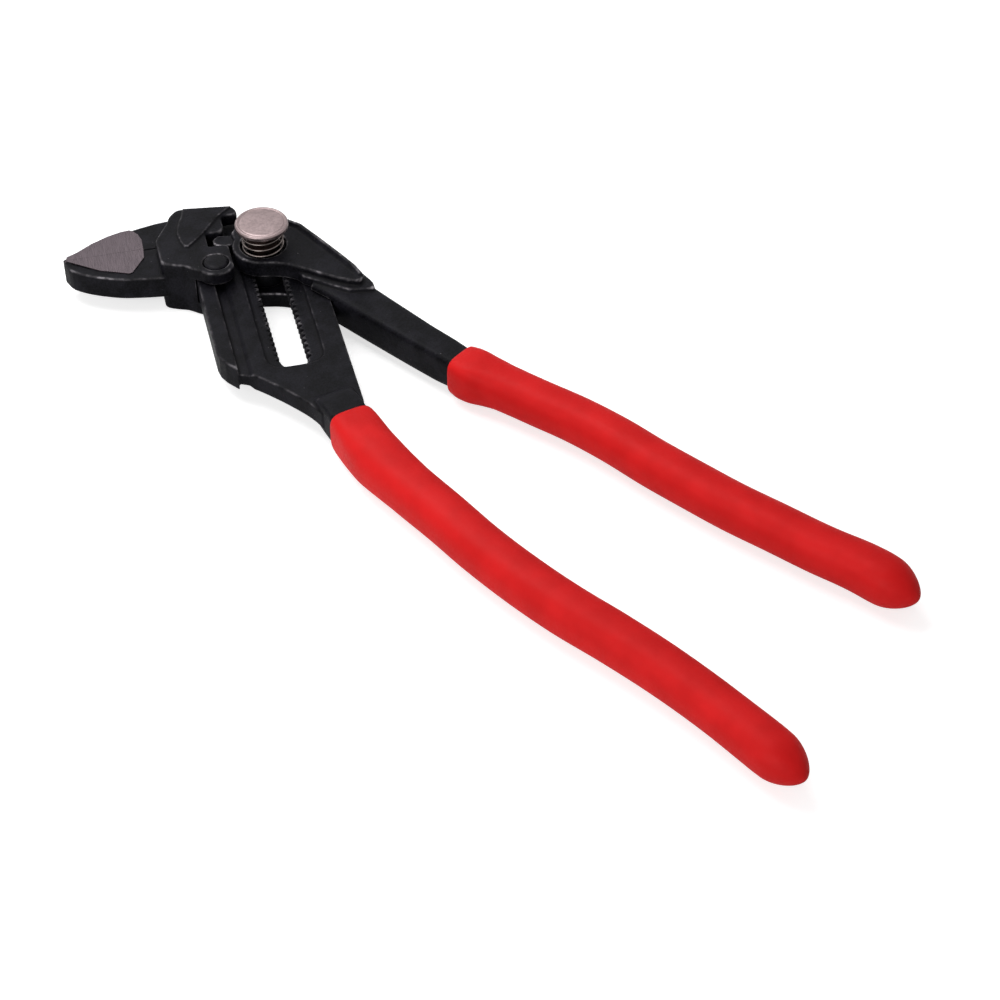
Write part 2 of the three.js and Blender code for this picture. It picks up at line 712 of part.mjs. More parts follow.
// Bolt: flange, journal, toothed block, flat-sided neck, stem and spigot
function blockTeeth(side) {
  const tip = slotHalf + toothDepth - slideGap;
  const root = slotHalf - slideGap;
  const flank = toothPitch * flankShare;
  const tipHalf = (toothPitch * flatShare) / 2 + (slideGap / toothDepth) * flank - fitGap;
  const corners = [[side * root, -flangeRadius]];
  blockToothPlaces.forEach((place) => {
    const centre = place * toothPitch;
    corners.push([side * root, centre - tipHalf - flank], [side * tip, centre - tipHalf]);
    corners.push([side * tip, centre + tipHalf], [side * root, centre + tipHalf + flank]);
  });
  corners.push([side * root, flangeRadius]);
  return corners;
}

function jointBolt() {
  const flangeTop = flangeSink + flangeThickness;
  const blockLow = plateBack + recessDepth - slideGap;
  const blockHigh = plateFront - fitGap;
  const neckTop = headThickness + fitGap;
  const stemTop = socketCeiling - slideGap;
  const root = slotHalf - slideGap;
  const core = join(
    revolve([
      [0, flangeSink], [flangeRadius - smallRound, flangeSink], [flangeRadius, flangeSink + smallRound],
      [flangeRadius, flangeTop], [journalRadius, flangeTop], [journalRadius, blockLow], [0, blockLow],
    ]),
    revolve([
      [0, neckTop], [stemRadius, neckTop], [stemRadius, stemTop], [spigotRadius, stemTop],
      [spigotRadius, stemTop + spigotHeight], [0, stemTop + spigotHeight],
    ]),
  );
  const flats = [[root, -flangeRadius], [root, flangeRadius], [-root, flangeRadius], [-root, -flangeRadius]];
  const teeth = [...blockTeeth(1), ...blockTeeth(-1).reverse()];
  const round = solid(disc(journalRadius, blockLow, blockHigh));
  const block = round.intersect(solid(slab(teeth, 0, headThickness)));
  const neck = solid(disc(stemRadius, blockHigh, neckTop)).intersect(solid(slab(flats, 0, buttonTop)));
  return toGeometry(core.add(block).add(neck));
}

function thrustWasher() {
  const low = flangeSink + flangeThickness + slideGap;
  const bore = journalRadius + slideGap;
  const high = low + washerThickness;
  return revolve([[bore, low], [washerRadius, low], [washerRadius, high], [bore, high], [bore, low]]);
}

function pushButton() {
  const low = buttonTop - buttonThickness;
  const boreTop = socketCeiling + spigotHeight;
  return revolve([
    [0, boreTop], [spigotRadius + slideGap, boreTop], [spigotRadius + slideGap, socketCeiling],
    [springSeatRadius, socketCeiling], [springSeatRadius, low], [buttonRadius - smallRound, low],
    [buttonRadius, low + smallRound], [buttonRadius, buttonTop - smallRound],
    [buttonRadius - smallRound, buttonTop - smallRound / 3], [buttonRadius - edgeRound, buttonTop],
    [0, buttonTop],
  ]);
}

// One unbroken wire: a helix from the seat in the front cheek to the button, with straight ends
function buttonSpring() {
  const low = headThickness - springSeatDepth + slideGap + springWire / 2;
  const high = socketCeiling - slideGap - springWire / 2;
  const steps = springCurls * curlSteps;
  const stations = [];
  for (let i = 0; i <= steps; i += 1) {
    const angle = (2 * Math.PI * i) / curlSteps;
    const radial = new THREE.Vector3(Math.cos(angle), Math.sin(angle), 0);
    const climb = (high - low) / (2 * Math.PI * springCurls);
    const tangent = new THREE.Vector3(-Math.sin(angle) * springRadius, Math.cos(angle) * springRadius, climb);
    const centre = radial.clone().multiplyScalar(springRadius).setZ(low + ((high - low) * i) / steps);
    stations.push({ centre, radial, tangent: tangent.normalize() });
  }
  const straight = (station, sign) => ({
    ...station, centre: station.centre.clone().addScaledVector(station.tangent, sign * springWire),
  });
  const path = [straight(stations[0], -1), ...stations, straight(stations[stations.length - 1], 1)];
  console.log(`button_spring: least gap to itself ${leastGap(path).toFixed(2)} mm`);
  return wireTube(path);
}

function leastGap(path) {
  let least = Infinity;
  path.forEach((one, i) => path.slice(i + curlSteps / 2).forEach((other) => {
    least = Math.min(least, one.centre.distanceTo(other.centre) - springWire);
  }));
  return least;
}

function wireTube(path) {
  const positions = [];
  const index = [];
  path.forEach(({ centre, radial, tangent }) => {
    const up = tangent.clone().cross(radial);
    for (let side = 0; side < wireSides; side += 1) {
      const angle = (2 * Math.PI * side) / wireSides;
      const point = centre.clone().addScaledVector(radial, (Math.cos(angle) * springWire) / 2);
      positions.push(...point.addScaledVector(up, (Math.sin(angle) * springWire) / 2).toArray());
    }
  });
  const last = (path.length - 1) * wireSides;
  for (let side = 0; side < wireSides; side += 1) {
    const next = (side + 1) % wireSides;
    for (let ring = 0; ring < last; ring += wireSides) {
      index.push(ring + side, ring + next, ring + wireSides + side);
      index.push(ring + next, ring + wireSides + next, ring + wireSides + side);
    }
    if (side > 0 && side < wireSides - 1) {
      index.push(0, side + 1, side);
      index.push(last, last + side, last + side + 1);
    }
  }
  return indexed(positions, index);
}

// Finishes
function finish(color, roughness, metalness) {
  return new THREE.MeshStandardMaterial({ color, roughness, metalness });
}

function piece(name, geometry, material) {
  const mesh = new THREE.Mesh(geometry, material);
  mesh.name = name;
  return mesh;
}

const assembly = new THREE.Group();
assembly.add(
  piece('fixed_jaw_lever', fixedJawLever(), finish(0x2c2d31, 0.55, 0.8)),
  piece('fixed_lever_grip', fixedGrip(), finish(0xd3232a, 0.45, 0)),
  piece('sliding_jaw', slidingJaw(), finish(0x2e2f33, 0.55, 0.8)),
  piece('front_guide_pin', guidePin(1), finish(0x38393d, 0.45, 0.85)),
  piece('back_guide_pin', guidePin(-1), finish(0x38393d, 0.45, 0.85)),
  piece('crossing_lever', crossingLever(), finish(0x303136, 0.5, 0.8)),
  piece('crossing_lever_grip', crossGrip(), finish(0xd3232a, 0.45, 0)),
  piece('joint_bolt', jointBolt(), finish(0x5d4a44, 0.45, 0.85)),
  piece('thrust_washer', thrustWasher(), finish(0x77767a, 0.4, 0.9)),
  piece('push_button', pushButton(), finish(0xc9bfbb, 0.35, 0.9)),
  piece('button_spring', buttonSpring(), finish(0xa9a09a, 0.3, 0.95)),
);

// The finished part stands on its lowest point, with its box centred over the origin
const box = new THREE.Box3().setFromObject(assembly);
const centre = box.getCenter(new THREE.Vector3());
assembly.position.set(-centre.x, -centre.y, -box.min.z);

const pliersWrench = new THREE.Group();
pliersWrench.add(assembly);

export default pliersWrench;
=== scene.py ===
"""Push-button pliers wrench lying on its back: forged levers, ground jaws and dipped grips.

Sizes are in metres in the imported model's frame: +Y closes the jaws along the guide rails,
-X points at the jaw tips, and +Z runs up out of the push button.
"""

import logging
import math
from dataclasses import dataclass
from enum import Enum
from typing import Callable, Sequence

import bmesh
import bpy
import numpy as np
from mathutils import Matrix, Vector


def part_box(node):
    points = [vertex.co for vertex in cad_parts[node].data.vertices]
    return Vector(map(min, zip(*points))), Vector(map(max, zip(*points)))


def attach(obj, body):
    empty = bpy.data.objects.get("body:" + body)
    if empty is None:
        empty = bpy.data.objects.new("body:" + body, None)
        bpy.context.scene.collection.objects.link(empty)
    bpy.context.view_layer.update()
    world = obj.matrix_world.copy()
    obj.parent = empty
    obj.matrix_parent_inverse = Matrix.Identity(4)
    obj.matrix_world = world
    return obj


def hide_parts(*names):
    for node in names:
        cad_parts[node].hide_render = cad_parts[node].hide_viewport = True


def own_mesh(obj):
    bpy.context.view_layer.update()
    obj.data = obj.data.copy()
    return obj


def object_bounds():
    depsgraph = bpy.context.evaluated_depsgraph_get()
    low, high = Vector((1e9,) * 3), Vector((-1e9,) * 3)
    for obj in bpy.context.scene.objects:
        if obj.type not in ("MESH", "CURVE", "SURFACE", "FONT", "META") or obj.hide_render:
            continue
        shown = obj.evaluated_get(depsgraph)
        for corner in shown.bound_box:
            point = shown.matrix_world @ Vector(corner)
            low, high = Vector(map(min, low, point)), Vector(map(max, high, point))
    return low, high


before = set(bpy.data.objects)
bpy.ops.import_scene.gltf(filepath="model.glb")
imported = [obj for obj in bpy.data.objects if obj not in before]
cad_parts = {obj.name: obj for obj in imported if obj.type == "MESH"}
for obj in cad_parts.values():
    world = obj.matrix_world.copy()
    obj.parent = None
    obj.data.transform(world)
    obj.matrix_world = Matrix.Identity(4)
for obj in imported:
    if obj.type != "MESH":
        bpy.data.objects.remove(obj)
CAD_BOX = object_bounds()

MM = 0.001
# How near to each other two points of a solid are welded
WELD = 0.001 * MM
LOG = logging.getLogger("pliers_wrench")

Range = tuple[float, float]
Triple = tuple[float, float, float]
Colour = tuple[float, float, float]
Points = Sequence[tuple[float, float]]
Socket = bpy.types.NodeSocket
Value = Socket | float | Colour
Material = bpy.types.Material
Mesh = bpy.types.Mesh
Piece = bpy.types.Object
Rows = np.ndarray
Press = Callable[[Rows], Rows]


class Body(Enum):
    """The rigid bodies that pieces ride on."""

    FIXED_LEVER = "fixed_lever"
    CARRIAGE = "carriage"
    CROSSING_LEVER = "crossing_lever"
    BOLT = "bolt"
    SLIDING_JAW = "sliding_jaw"


class Slot(Enum):
    """Names of the material slots."""

    FORGED = "forged_steel"
    PIN = "pin_steel"
    BOLT = "bolt_steel"
    NICKEL = "button_nickel"
    WIRE = "spring_wire"
    GRIP = "dipped_grip"


class Side(Enum):
    """Which face of the tool a piece is on: the button's side or the side it lies on."""

    FRONT = 1
    BACK = -1


def node_centre(node: str) -> Vector:
    """Return the middle of a CAD node's box."""
    low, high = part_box(node)
    return (low + high) / 2


PIVOT = node_centre("joint_bolt")
MIDDLE_Z = node_centre("fixed_jaw_lever").z


# Materials

# The stretch that nearly all of a fractal noise's values lie in
NOISE_RANGE = (0.3, 0.7)
# A colour Mix node's sockets, whose names its number and vector sockets bear too
MIX_SHARE, MIX_FIRST, MIX_SECOND, MIX_RESULT = 0, 6, 7, 2


class NodeGraph:
    """A material's node tree, put together from short named steps."""

    def __init__(self, name: str) -> None:
        """Start a material that holds its Principled shader and the piece's own coordinates.

        Args:
            name: The material's name.
        """
        self.material = bpy.data.materials.new(name)
        self.material.use_nodes = True
        self.tree = self.material.node_tree
        self.shader = self.tree.nodes["Principled BSDF"]
        self.place = self.node("ShaderNodeTexCoord").outputs["Object"]

    def node(
        self, kind: str, inputs: dict[str | int, Value] | None = None, **settings: str,
    ) -> bpy.types.Node:
        """Add a node.

        Args:
            kind: The node's type name.
            inputs: Values or sockets, by the name or number of the input.
            settings: The node's own properties.

        Returns:
            The node.
        """
        made = self.tree.nodes.new(kind)
        for key, value in settings.items():
            setattr(made, key, value)
        for key, value in (inputs or {}).items():
            self.feed(made.inputs[key], value)
        return made

    def feed(self, socket: Socket, value: Value) -> None:
        """Link a socket to an input, or set the input's own value.

        Args:
            socket: The input.
            value: Another node's output, a number or a colour.
        """
        if isinstance(value, bpy.types.NodeSocket):
            self.tree.links.new(value, socket)
        elif isinstance(value, tuple) and socket.type == "RGBA":
            socket.default_value = (*value, 1.0)
        else:
            socket.default_value = value

    def noise(self, scale: float, detail: float = 3.0, stretch: Triple = (1, 1, 1)) -> Socket:
        """Spread fractal noise over the piece.

        Args:
            scale: Patches to the metre.
            detail: Octaves.
            stretch: How much finer the noise is along X, Y and Z.

        Returns:
            The noise, about 0.5 on average.
        """
        place = self.node("ShaderNodeMapping", {"Vector": self.place, "Scale": stretch})
        inputs = {"Vector": place.outputs["Vector"], "Scale": scale, "Detail": detail}
        return self.node("ShaderNodeTexNoise", inputs).outputs["Fac"]

    def attribute(self, name: str) -> Socket:
        """Return a number kept on the mesh's points."""
        return self.node("ShaderNodeAttribute", attribute_name=name).outputs["Fac"]

    def spread(self, value: Socket, source: Range, target: Range) -> Socket:
        """Map a value smoothly from the stretch of the source onto that of the target."""
        inputs = dict(enumerate((value, *source, *target)))
        return self.node("ShaderNodeMapRange", inputs, interpolation_type="SMOOTHSTEP").outputs[0]

    def maths(self, operation: str, first: Socket | float, second: Socket | float) -> Socket:
        """Return what an operation makes of two values."""
        made = self.node("ShaderNodeMath", {0: first, 1: second}, operation=operation)
        return made.outputs["Value"]

    def blend(self, share: Socket, first: Socket | Colour, second: Socket | Colour) -> Socket:
        """Return a colour between two, by a share from 0 to 1."""
        inputs = {MIX_SHARE: share, MIX_FIRST: first, MIX_SECOND: second}
        return self.node("ShaderNodeMix", inputs, data_type="RGBA").outputs[MIX_RESULT]

    def relief(self, height: Socket, depth: float, below: Socket | None = None) -> Socket:
        """Bump the surface.

        Args:
            height: The relief, from 0 to 1.
            depth: How deep it is, in metres.
            below: A coarser bumped normal to add it to.

        Returns:
            The bumped normal.
        """
        inputs = {"Height": height, "Distance": depth, "Strength": 1.0}
        if below is not None:
            inputs["Normal"] = below
        return self.node("ShaderNodeBump", inputs).outputs["Normal"]

    def finish(self, **shader_inputs: Value) -> Material:
        """Feed the shader.

        Args:
            shader_inputs: Values by the input's name, in lower case with underscores.

        Returns:
            The finished material.
        """
        names = {socket.name.lower().replace(" ", "_"): socket for socket in self.shader.inputs}
        for key, value in shader_inputs.items():
            self.feed(names[key], value)
        return self.material


@dataclass(frozen=True)
class BlackOxide:
    """Black-oxide forged steel with a fine grain, faint mottling, rubbed edges that carry a painted
    highlight, and painted shade in its corners and crevices.
    """

    name: str = "black_oxide_steel"
    dark: Colour = (0.0008, 0.0008, 0.0014)
    light: Colour = (0.0096, 0.0092, 0.0126)
    # Rubbed edges: worn bare steel, painted brighter as a highlight along the edges
    rubbed_glint: Colour = (0.23, 0.216, 0.23)
    # Painted shade: the darker colour that corners and crevices are painted in
    crevice_shaded: Colour = (0.0024, 0.0023, 0.0030)
    rub_and_glint_share: float = 0.8
    pit_rub_and_glint: float = 0.25
    mottle_rub_and_glint: float = 0.2
    metal_share: float = 0.9
    mottle_scale: float = 190.0
    grain_scale: float = 2100.0
    pit_scale: float = 620.0
    coarse_range: Range = (0.40, 0.62)
    fine_range: Range = (0.40, 0.60)
    tone_share: float = 0.5
    speck_scale: float = 1500.0
    speck_range: Range = (0.775, 0.83)
    speck_share: float = 0.35
    grain_depth: float = 0.045 * MM
    pit_depth: float = 0.075 * MM
    roughness: Range = (0.40, 0.56)
    gloss: float = 0.065

    def material(self) -> Material:
        """Build the finish.

        Returns:
            The material, which reads the points' rub, with its painted highlight, and their painted
            shade in corners.
        """
        graph = NodeGraph(self.name)
        mottle = graph.noise(self.mottle_scale, detail=4.0)
        grain = graph.noise(self.grain_scale)
        pits = graph.noise(self.pit_scale, detail=4.0)
        cloudy = graph.spread(mottle, self.coarse_range, (0.0, self.tone_share))
        sandy = graph.spread(grain, self.fine_range, (0.0, self.tone_share))
        coat = graph.blend(graph.maths("ADD", cloudy, sandy), self.dark, self.light)
        # Painted shade in corners and crevices
        coat = graph.blend(graph.attribute("crevice_shade"), coat, self.crevice_shaded)
        off_pits = graph.spread(pits, self.coarse_range, (self.pit_rub_and_glint, 1.0))
        off_mottle = graph.spread(mottle, self.fine_range, (self.mottle_rub_and_glint, 1.0))
        patchy = graph.maths("MULTIPLY", off_pits, off_mottle)
        specks = graph.noise(self.speck_scale, detail=1.0)
        specks = graph.spread(specks, self.speck_range, (0.0, self.speck_share))
        # Rubbed edges: partly real wear and partly a painted highlight, broken up by pits and
        # mottling
        rub_and_glint = graph.maths("MULTIPLY", graph.attribute("rub_and_glint"), patchy)
        rub_and_glint = graph.maths("MAXIMUM", graph.maths("MULTIPLY", rub_and_glint, self.rub_and_glint_share), specks)
        normal = graph.relief(pits, self.pit_depth)
        return graph.finish(
            base_color=graph.blend(rub_and_glint, coat, self.rubbed_glint),
            metallic=graph.maths("MULTIPLY", rub_and_glint, self.metal_share),
            roughness=graph.spread(grain, NOISE_RANGE, self.roughness),
            specular_ior_level=self.gloss,
            normal=graph.relief(grain, self.grain_depth, normal),
        )


@dataclass(frozen=True)
class Metal:
    """Turned or drawn metal, with faint clouds and fine lines."""

    name: str
    dark: Colour
    light: Colour
    roughness: Range = (0.28, 0.42)
    gloss: float = 0.08
    cloud_scale: float = 480.0
    cloud_range: Range = (0.32, 0.68)
    cloud_share: float = 1.0
    line_scale: float = 420.0
    line_detail: float = 3.0
    line_stretch: Triple = (1.0, 1.0, 9.0)
    line_range: Range = NOISE_RANGE
    line_share: float = 0.0
    line_depth: float = 0.005 * MM
    black: Colour = (0.010, 0.010, 0.012)
    black_below: float | None = None
    black_fade: float = 0.2 * MM

    def material(self) -> Material:
        """Build the finish.

        Returns:
            The material, black up to a height where the metal has one.
        """
        graph = NodeGraph(self.name)
        cloud = graph.noise(self.cloud_scale)
        lines = graph.noise(self.line_scale, self.line_detail, self.line_stretch)
        clouds = graph.spread(cloud, self.cloud_range, (0.0, self.cloud_share))
        streaks = graph.spread(lines, self.line_range, (0.0, self.line_share))
        colour = graph.blend(graph.maths("ADD", streaks, clouds), self.dark, self.light)
        metallic = 1.0
        if self.black_below is not None:
            height = graph.node("ShaderNodeSeparateXYZ", {"Vector": graph.place}).outputs["Z"]
            fade = (self.black_below - self.black_fade, self.black_below + self.black_fade)
            metallic = graph.spread(height, fade, (0.0, 1.0))
            colour = graph.blend(metallic, self.black, colour)
        return graph.finish(
            base_color=colour,
            metallic=metallic,
            roughness=graph.spread(lines, NOISE_RANGE, self.roughness),
            specular_ior_level=self.gloss,
            normal=graph.relief(lines, self.line_depth),
        )


@dataclass(frozen=True)
class GroundSteel(Metal):
    """Bare steel of the jaw faces, ground across the jaws so that fine lines run along Y."""

    name: str = "ground_steel"
    dark: Colour = (0.105, 0.085, 0.095)
    light: Colour = (0.131, 0.106, 0.118)
    roughness: Range = (0.24, 0.34)
    gloss: float = 0.5
    cloud_scale: float = 240.0
    cloud_range: Range = NOISE_RANGE
    cloud_share: float = 0.3
    line_scale: float = 260.0
    line_detail: float = 5.0
    line_stretch: Triple = (22.0, 1.0, 1.0)
    line_share: float = 0.7
    line_depth: float = 0.0045 * MM


@dataclass(frozen=True)
class SatinNickel(Metal):
    """Satin nickel plate, whose lines are a fine even speckle."""

    name: str = "satin_nickel"
    dark: Colour = (0.225, 0.175, 0.175)
    light: Colour = (0.305, 0.238, 0.238)
    roughness: Range = (0.30, 0.44)
    gloss: float = 0.5
    cloud_scale: float = 320.0
    cloud_range: Range = NOISE_RANGE
    cloud_share: float = 0.5
    line_scale: float = 1700.0
    line_stretch: Triple = (1.0, 1.0, 1.0)
    line_range: Range = (0.35, 0.65)
    line_share: float = 0.5
    line_depth: float = 0.022 * MM


@dataclass(frozen=True)
class DippedPlastic:
    """Satin red dip coating with a fine leathery grain."""

    name: str = "red_dip"
    deep: Colour = (0.60, 0.0080, 0.0084)
    bright: Colour = (0.69, 0.0112, 0.0118)
    grain_scale: float = 1500.0
    swell_scale: float = 110.0
    swell_depth: float = 0.03 * MM
    grain_depth: float = 0.035 * MM
    roughness: Range = (0.46, 0.60)
    gloss: float = 0.12

    def material(self) -> Material:
        """Build the finish.

        Returns:
            The material.
        """
        graph = NodeGraph(self.name)
        grain = graph.noise(self.grain_scale, detail=4.0)
        swell = graph.noise(self.swell_scale, detail=2.0)
        tone = graph.spread(swell, NOISE_RANGE, (0.0, 1.0))
        normal = graph.relief(swell, self.swell_depth)
        return graph.finish(
            base_color=graph.blend(tone, self.deep, self.bright),
            roughness=graph.spread(grain, NOISE_RANGE, self.roughness),
            specular_ior_level=self.gloss,
            normal=graph.relief(grain, self.grain_depth, normal),
        )


@dataclass(frozen=True)
class PaperSweep:
    """White paper that the camera sees as white, and that keeps the tool's shadow."""

    name: str = "white_paper"
    colour: Colour = (0.72, 0.72, 0.72)
    fibre_scale: float = 35.0
    fibre_shade: float = 0.99
    lift: float = 0.66
    far_lift: float = 0.95
    far: Range = (0.30, 0.85)
    mirrored_share: float = 0.35
    roughness: float = 0.9

    def material(self) -> Material:
        """Build the finish.

        Returns:
            The material, which is lifted to white far from the tool.
        """
        graph = NodeGraph(self.name)
        fibre = graph.noise(self.fibre_scale)
        path = graph.node("ShaderNodeLightPath").outputs
        mirrored = graph.maths("MULTIPLY", path["Is Glossy Ray"], self.mirrored_share)
        seen = graph.maths("MAXIMUM", path["Is Camera Ray"], mirrored)
        away = graph.node("ShaderNodeVectorMath", {0: graph.place}, operation="LENGTH")
        lift = graph.spread(away.outputs["Value"], self.far, (self.lift, self.far_lift))
        tint = tuple(channel * self.fibre_shade for channel in self.colour)
        return graph.finish(
            base_color=graph.blend(fibre, tint, self.colour),
            roughness=self.roughness,
            specular_ior_level=0.0,
            emission_color=(1.0, 1.0, 1.0),
            emission_strength=graph.maths("MULTIPLY", seen, lift),
        )


# Meshes

def add_object(name: str, data: bpy.types.ID) -> bpy.types.Object:
    """Put a mesh, lamp or camera in the scene.

    Args:
        name: The object's name.
        data: The mesh, lamp or camera.

    Returns:
        The object.
    """
    made = bpy.data.objects.new(name, data)
    bpy.context.scene.collection.objects.link(made)
    return made


def cad_solid(node: str) -> bmesh.types.BMesh:
    """Copy a CAD node's mesh for editing, with its doubled points welded.

    Args:
        node: The node.

    Returns:
        The copy, which mesh_of frees.
    """
    work = bmesh.new()
    work.from_mesh(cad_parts[node].data)
    bmesh.ops.remove_doubles(work, verts=work.verts, dist=WELD)
    return work


def mesh_of(work: bmesh.types.BMesh, name: str) -> Mesh:
    """Make a mesh of an edited copy, and free the copy.

    Args:
        work: The edited copy.
        name: The mesh's name.

    Returns:
        The mesh.
    """
    mesh = bpy.data.meshes.new(name)
    work.to_mesh(mesh)
    work.free()
    return mesh


def mesh_from(name: str, points: Rows, faces: Sequence[Sequence[int]]) -> Mesh:
    """Make a mesh with its faces turned outwards.

    Args:
        name: The mesh's name.
        points: Its points as rows.
        faces: Its faces as numbers of points.

    Returns:
        The mesh.
    """
    mesh = bpy.data.meshes.new(name)
    mesh.from_pydata([tuple(map(float, point)) for point in points], [], faces)
    work = bmesh.new()
    work.from_mesh(mesh)
    bmesh.ops.recalc_face_normals(work, faces=work.faces)
    work.to_mesh(mesh)
    work.free()
    return mesh


def read_points(mesh: Mesh, what: str = "co") -> Rows:
    """Read a vector of each point of a mesh.

    Args:
        mesh: The mesh.
        what: "co" for the places or "normal" for the normals.

    Returns:
        The vectors as rows.
    """
    flat = np.zeros(len(mesh.vertices) * 3, np.float32)
    mesh.vertices.foreach_get(what, flat)
    return flat.reshape(-1, 3).astype(float)


def move_points(mesh: Mesh, points: Rows) -> None:
    """Move a mesh's points to new places."""
    mesh.vertices.foreach_set("co", points.astype(np.float32).ravel())


def keep_on_points(mesh: Mesh, name: str, values: Rows) -> None:
    """Keep a number on each of a mesh's points, for its material to read."""
    kept = mesh.attributes.new(name, "FLOAT", "POINT")
    kept.data.foreach_set("value", values.astype(np.float32))


def shade(piece: Piece, sharp_degrees: float = 40.0) -> None:
    """Shade a piece smoothly, with an edge where its faces meet at more than an angle."""
    piece.data.shade_smooth()
    piece.data.set_sharp_from_angle(angle=math.radians(sharp_degrees))


def dress(
    piece: Piece, finish: Material, body: Body, node: str | None = None,
) -> None:
    """Give a piece its material and its body, let it stand for its node, and report it.

    Args:
        piece: The piece.
        finish: Its material.
        body: The body that it rides.
        node: The node that it stands for, if it does.
    """
    piece.data.materials.clear()
    piece.data.materials.append(finish)
    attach(piece, body.value)
    if node is not None:
        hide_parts(node)
    LOG.info("%s: %d points on %s", piece.name, len(piece.data.vertices), body.value)


def relax(points: Rows, edges: Rows, rounds: int, pull: float = 0.6) -> Rows:
    """Draw each point towards the mean of its neighbours.

    Args:
        points: The mesh's points.
        edges: Pairs of neighbouring points.
        rounds: How often each point is drawn in.
        pull: The share of the way it goes each time.

    Returns:
        The new points.
    """
    start, end = np.concatenate([edges, edges[:, ::-1]]).T
    count = np.maximum(np.bincount(start, minlength=len(points)), 1)[:, None]
    for _ in range(rounds):
        totals = [np.bincount(start, points[end, axis], len(points)) for axis in range(3)]
        points = points + pull * (np.stack(totals, axis=1) / count - points)
    return points


def lathe(name: str, profile: Points, centre: Vector, sides: int = 96) -> Piece:
    """Turn a profile of radius and height about an upright axis.

    Args:
        name: The piece's name.
        profile: Corners from the axis round to the axis again, or a closed ring's section.
        centre: A point on the axis.
        sides: Facets to the turn.

    Returns:
        The piece.
    """
    turn = np.arange(sides) * math.tau / sides
    circle = np.stack([np.cos(turn), np.sin(turn), np.zeros(sides)], axis=1)
    points, rings = np.empty((0, 3)), []
    for radius, height in profile:
        around = (centre.x, centre.y, height) + radius * (circle if radius > 0 else circle[:1])
        rings.append([len(points) + side % len(around) for side in range(sides)])
        points = np.vstack([points, around])
    if profile[0][0] > 0:
        rings.append(rings[0])
    faces = [
        list(dict.fromkeys((low[side - 1], low[side], high[side], high[side - 1])))
        for low, high in zip(rings, rings[1:]) for side in range(sides)
    ]
    piece = add_object(name, mesh_from(name, points, faces))
    shade(piece)
    return piece


def rounded(
    profile: Points, radius: float, steps: int = 4, room: float = 0.45,
) -> list[tuple[float, float]]:
    """Round a profile's inner corners with short quadratic curves.

    Args:
        profile: The corners; the first and last stay as they are.
        radius: How far from a corner its curve starts, where there is room.
        steps: Points to the curve.
        room: The largest share of an edge that one curve takes up.

    Returns:
        The corners and curves.
    """
    corners = [np.array(corner, float) for corner in profile]
    made = [corners[0]]
    for before, corner, after in zip(corners, corners[1:], corners[2:]):
        ends = []
        for way in (before - corner, after - corner):
            length = np.linalg.norm(way)
            ends.append(corner + way / length * min(radius, length * room))
        for t in np.linspace(0, 1, steps + 1):
            made.append((1 - t) ** 2 * ends[0] + 2 * t * (1 - t) * corner + t ** 2 * ends[1])
    made.append(corners[-1])
    return [(float(x), float(y)) for x, y in made]


def tube(rings: Rows) -> tuple[Rows, list[list[int]]]:
    """Skin a row of rings, and close the first and last with a fan to their centre.

    Args:
        rings: Points as rings by sides by 3.

    Returns:
        The points and faces.
    """
    count, sides = rings.shape[:2]
    points = rings.reshape(-1, 3)
    pairs = [(side, (side + 1) % sides) for side in range(sides)]
    faces = [
        [first + side, first + beside, first + sides + beside, first + sides + side]
        for first in range(0, (count - 1) * sides, sides) for side, beside in pairs
    ]
    for first, ring in ((0, rings[0]), ((count - 1) * sides, rings[-1])):
        hub = len(points)
        points = np.vstack([points, ring.mean(axis=0)])
        faces += [[first + side, first + beside, hub] for side, beside in pairs]
    return points, faces


# Forged pieces

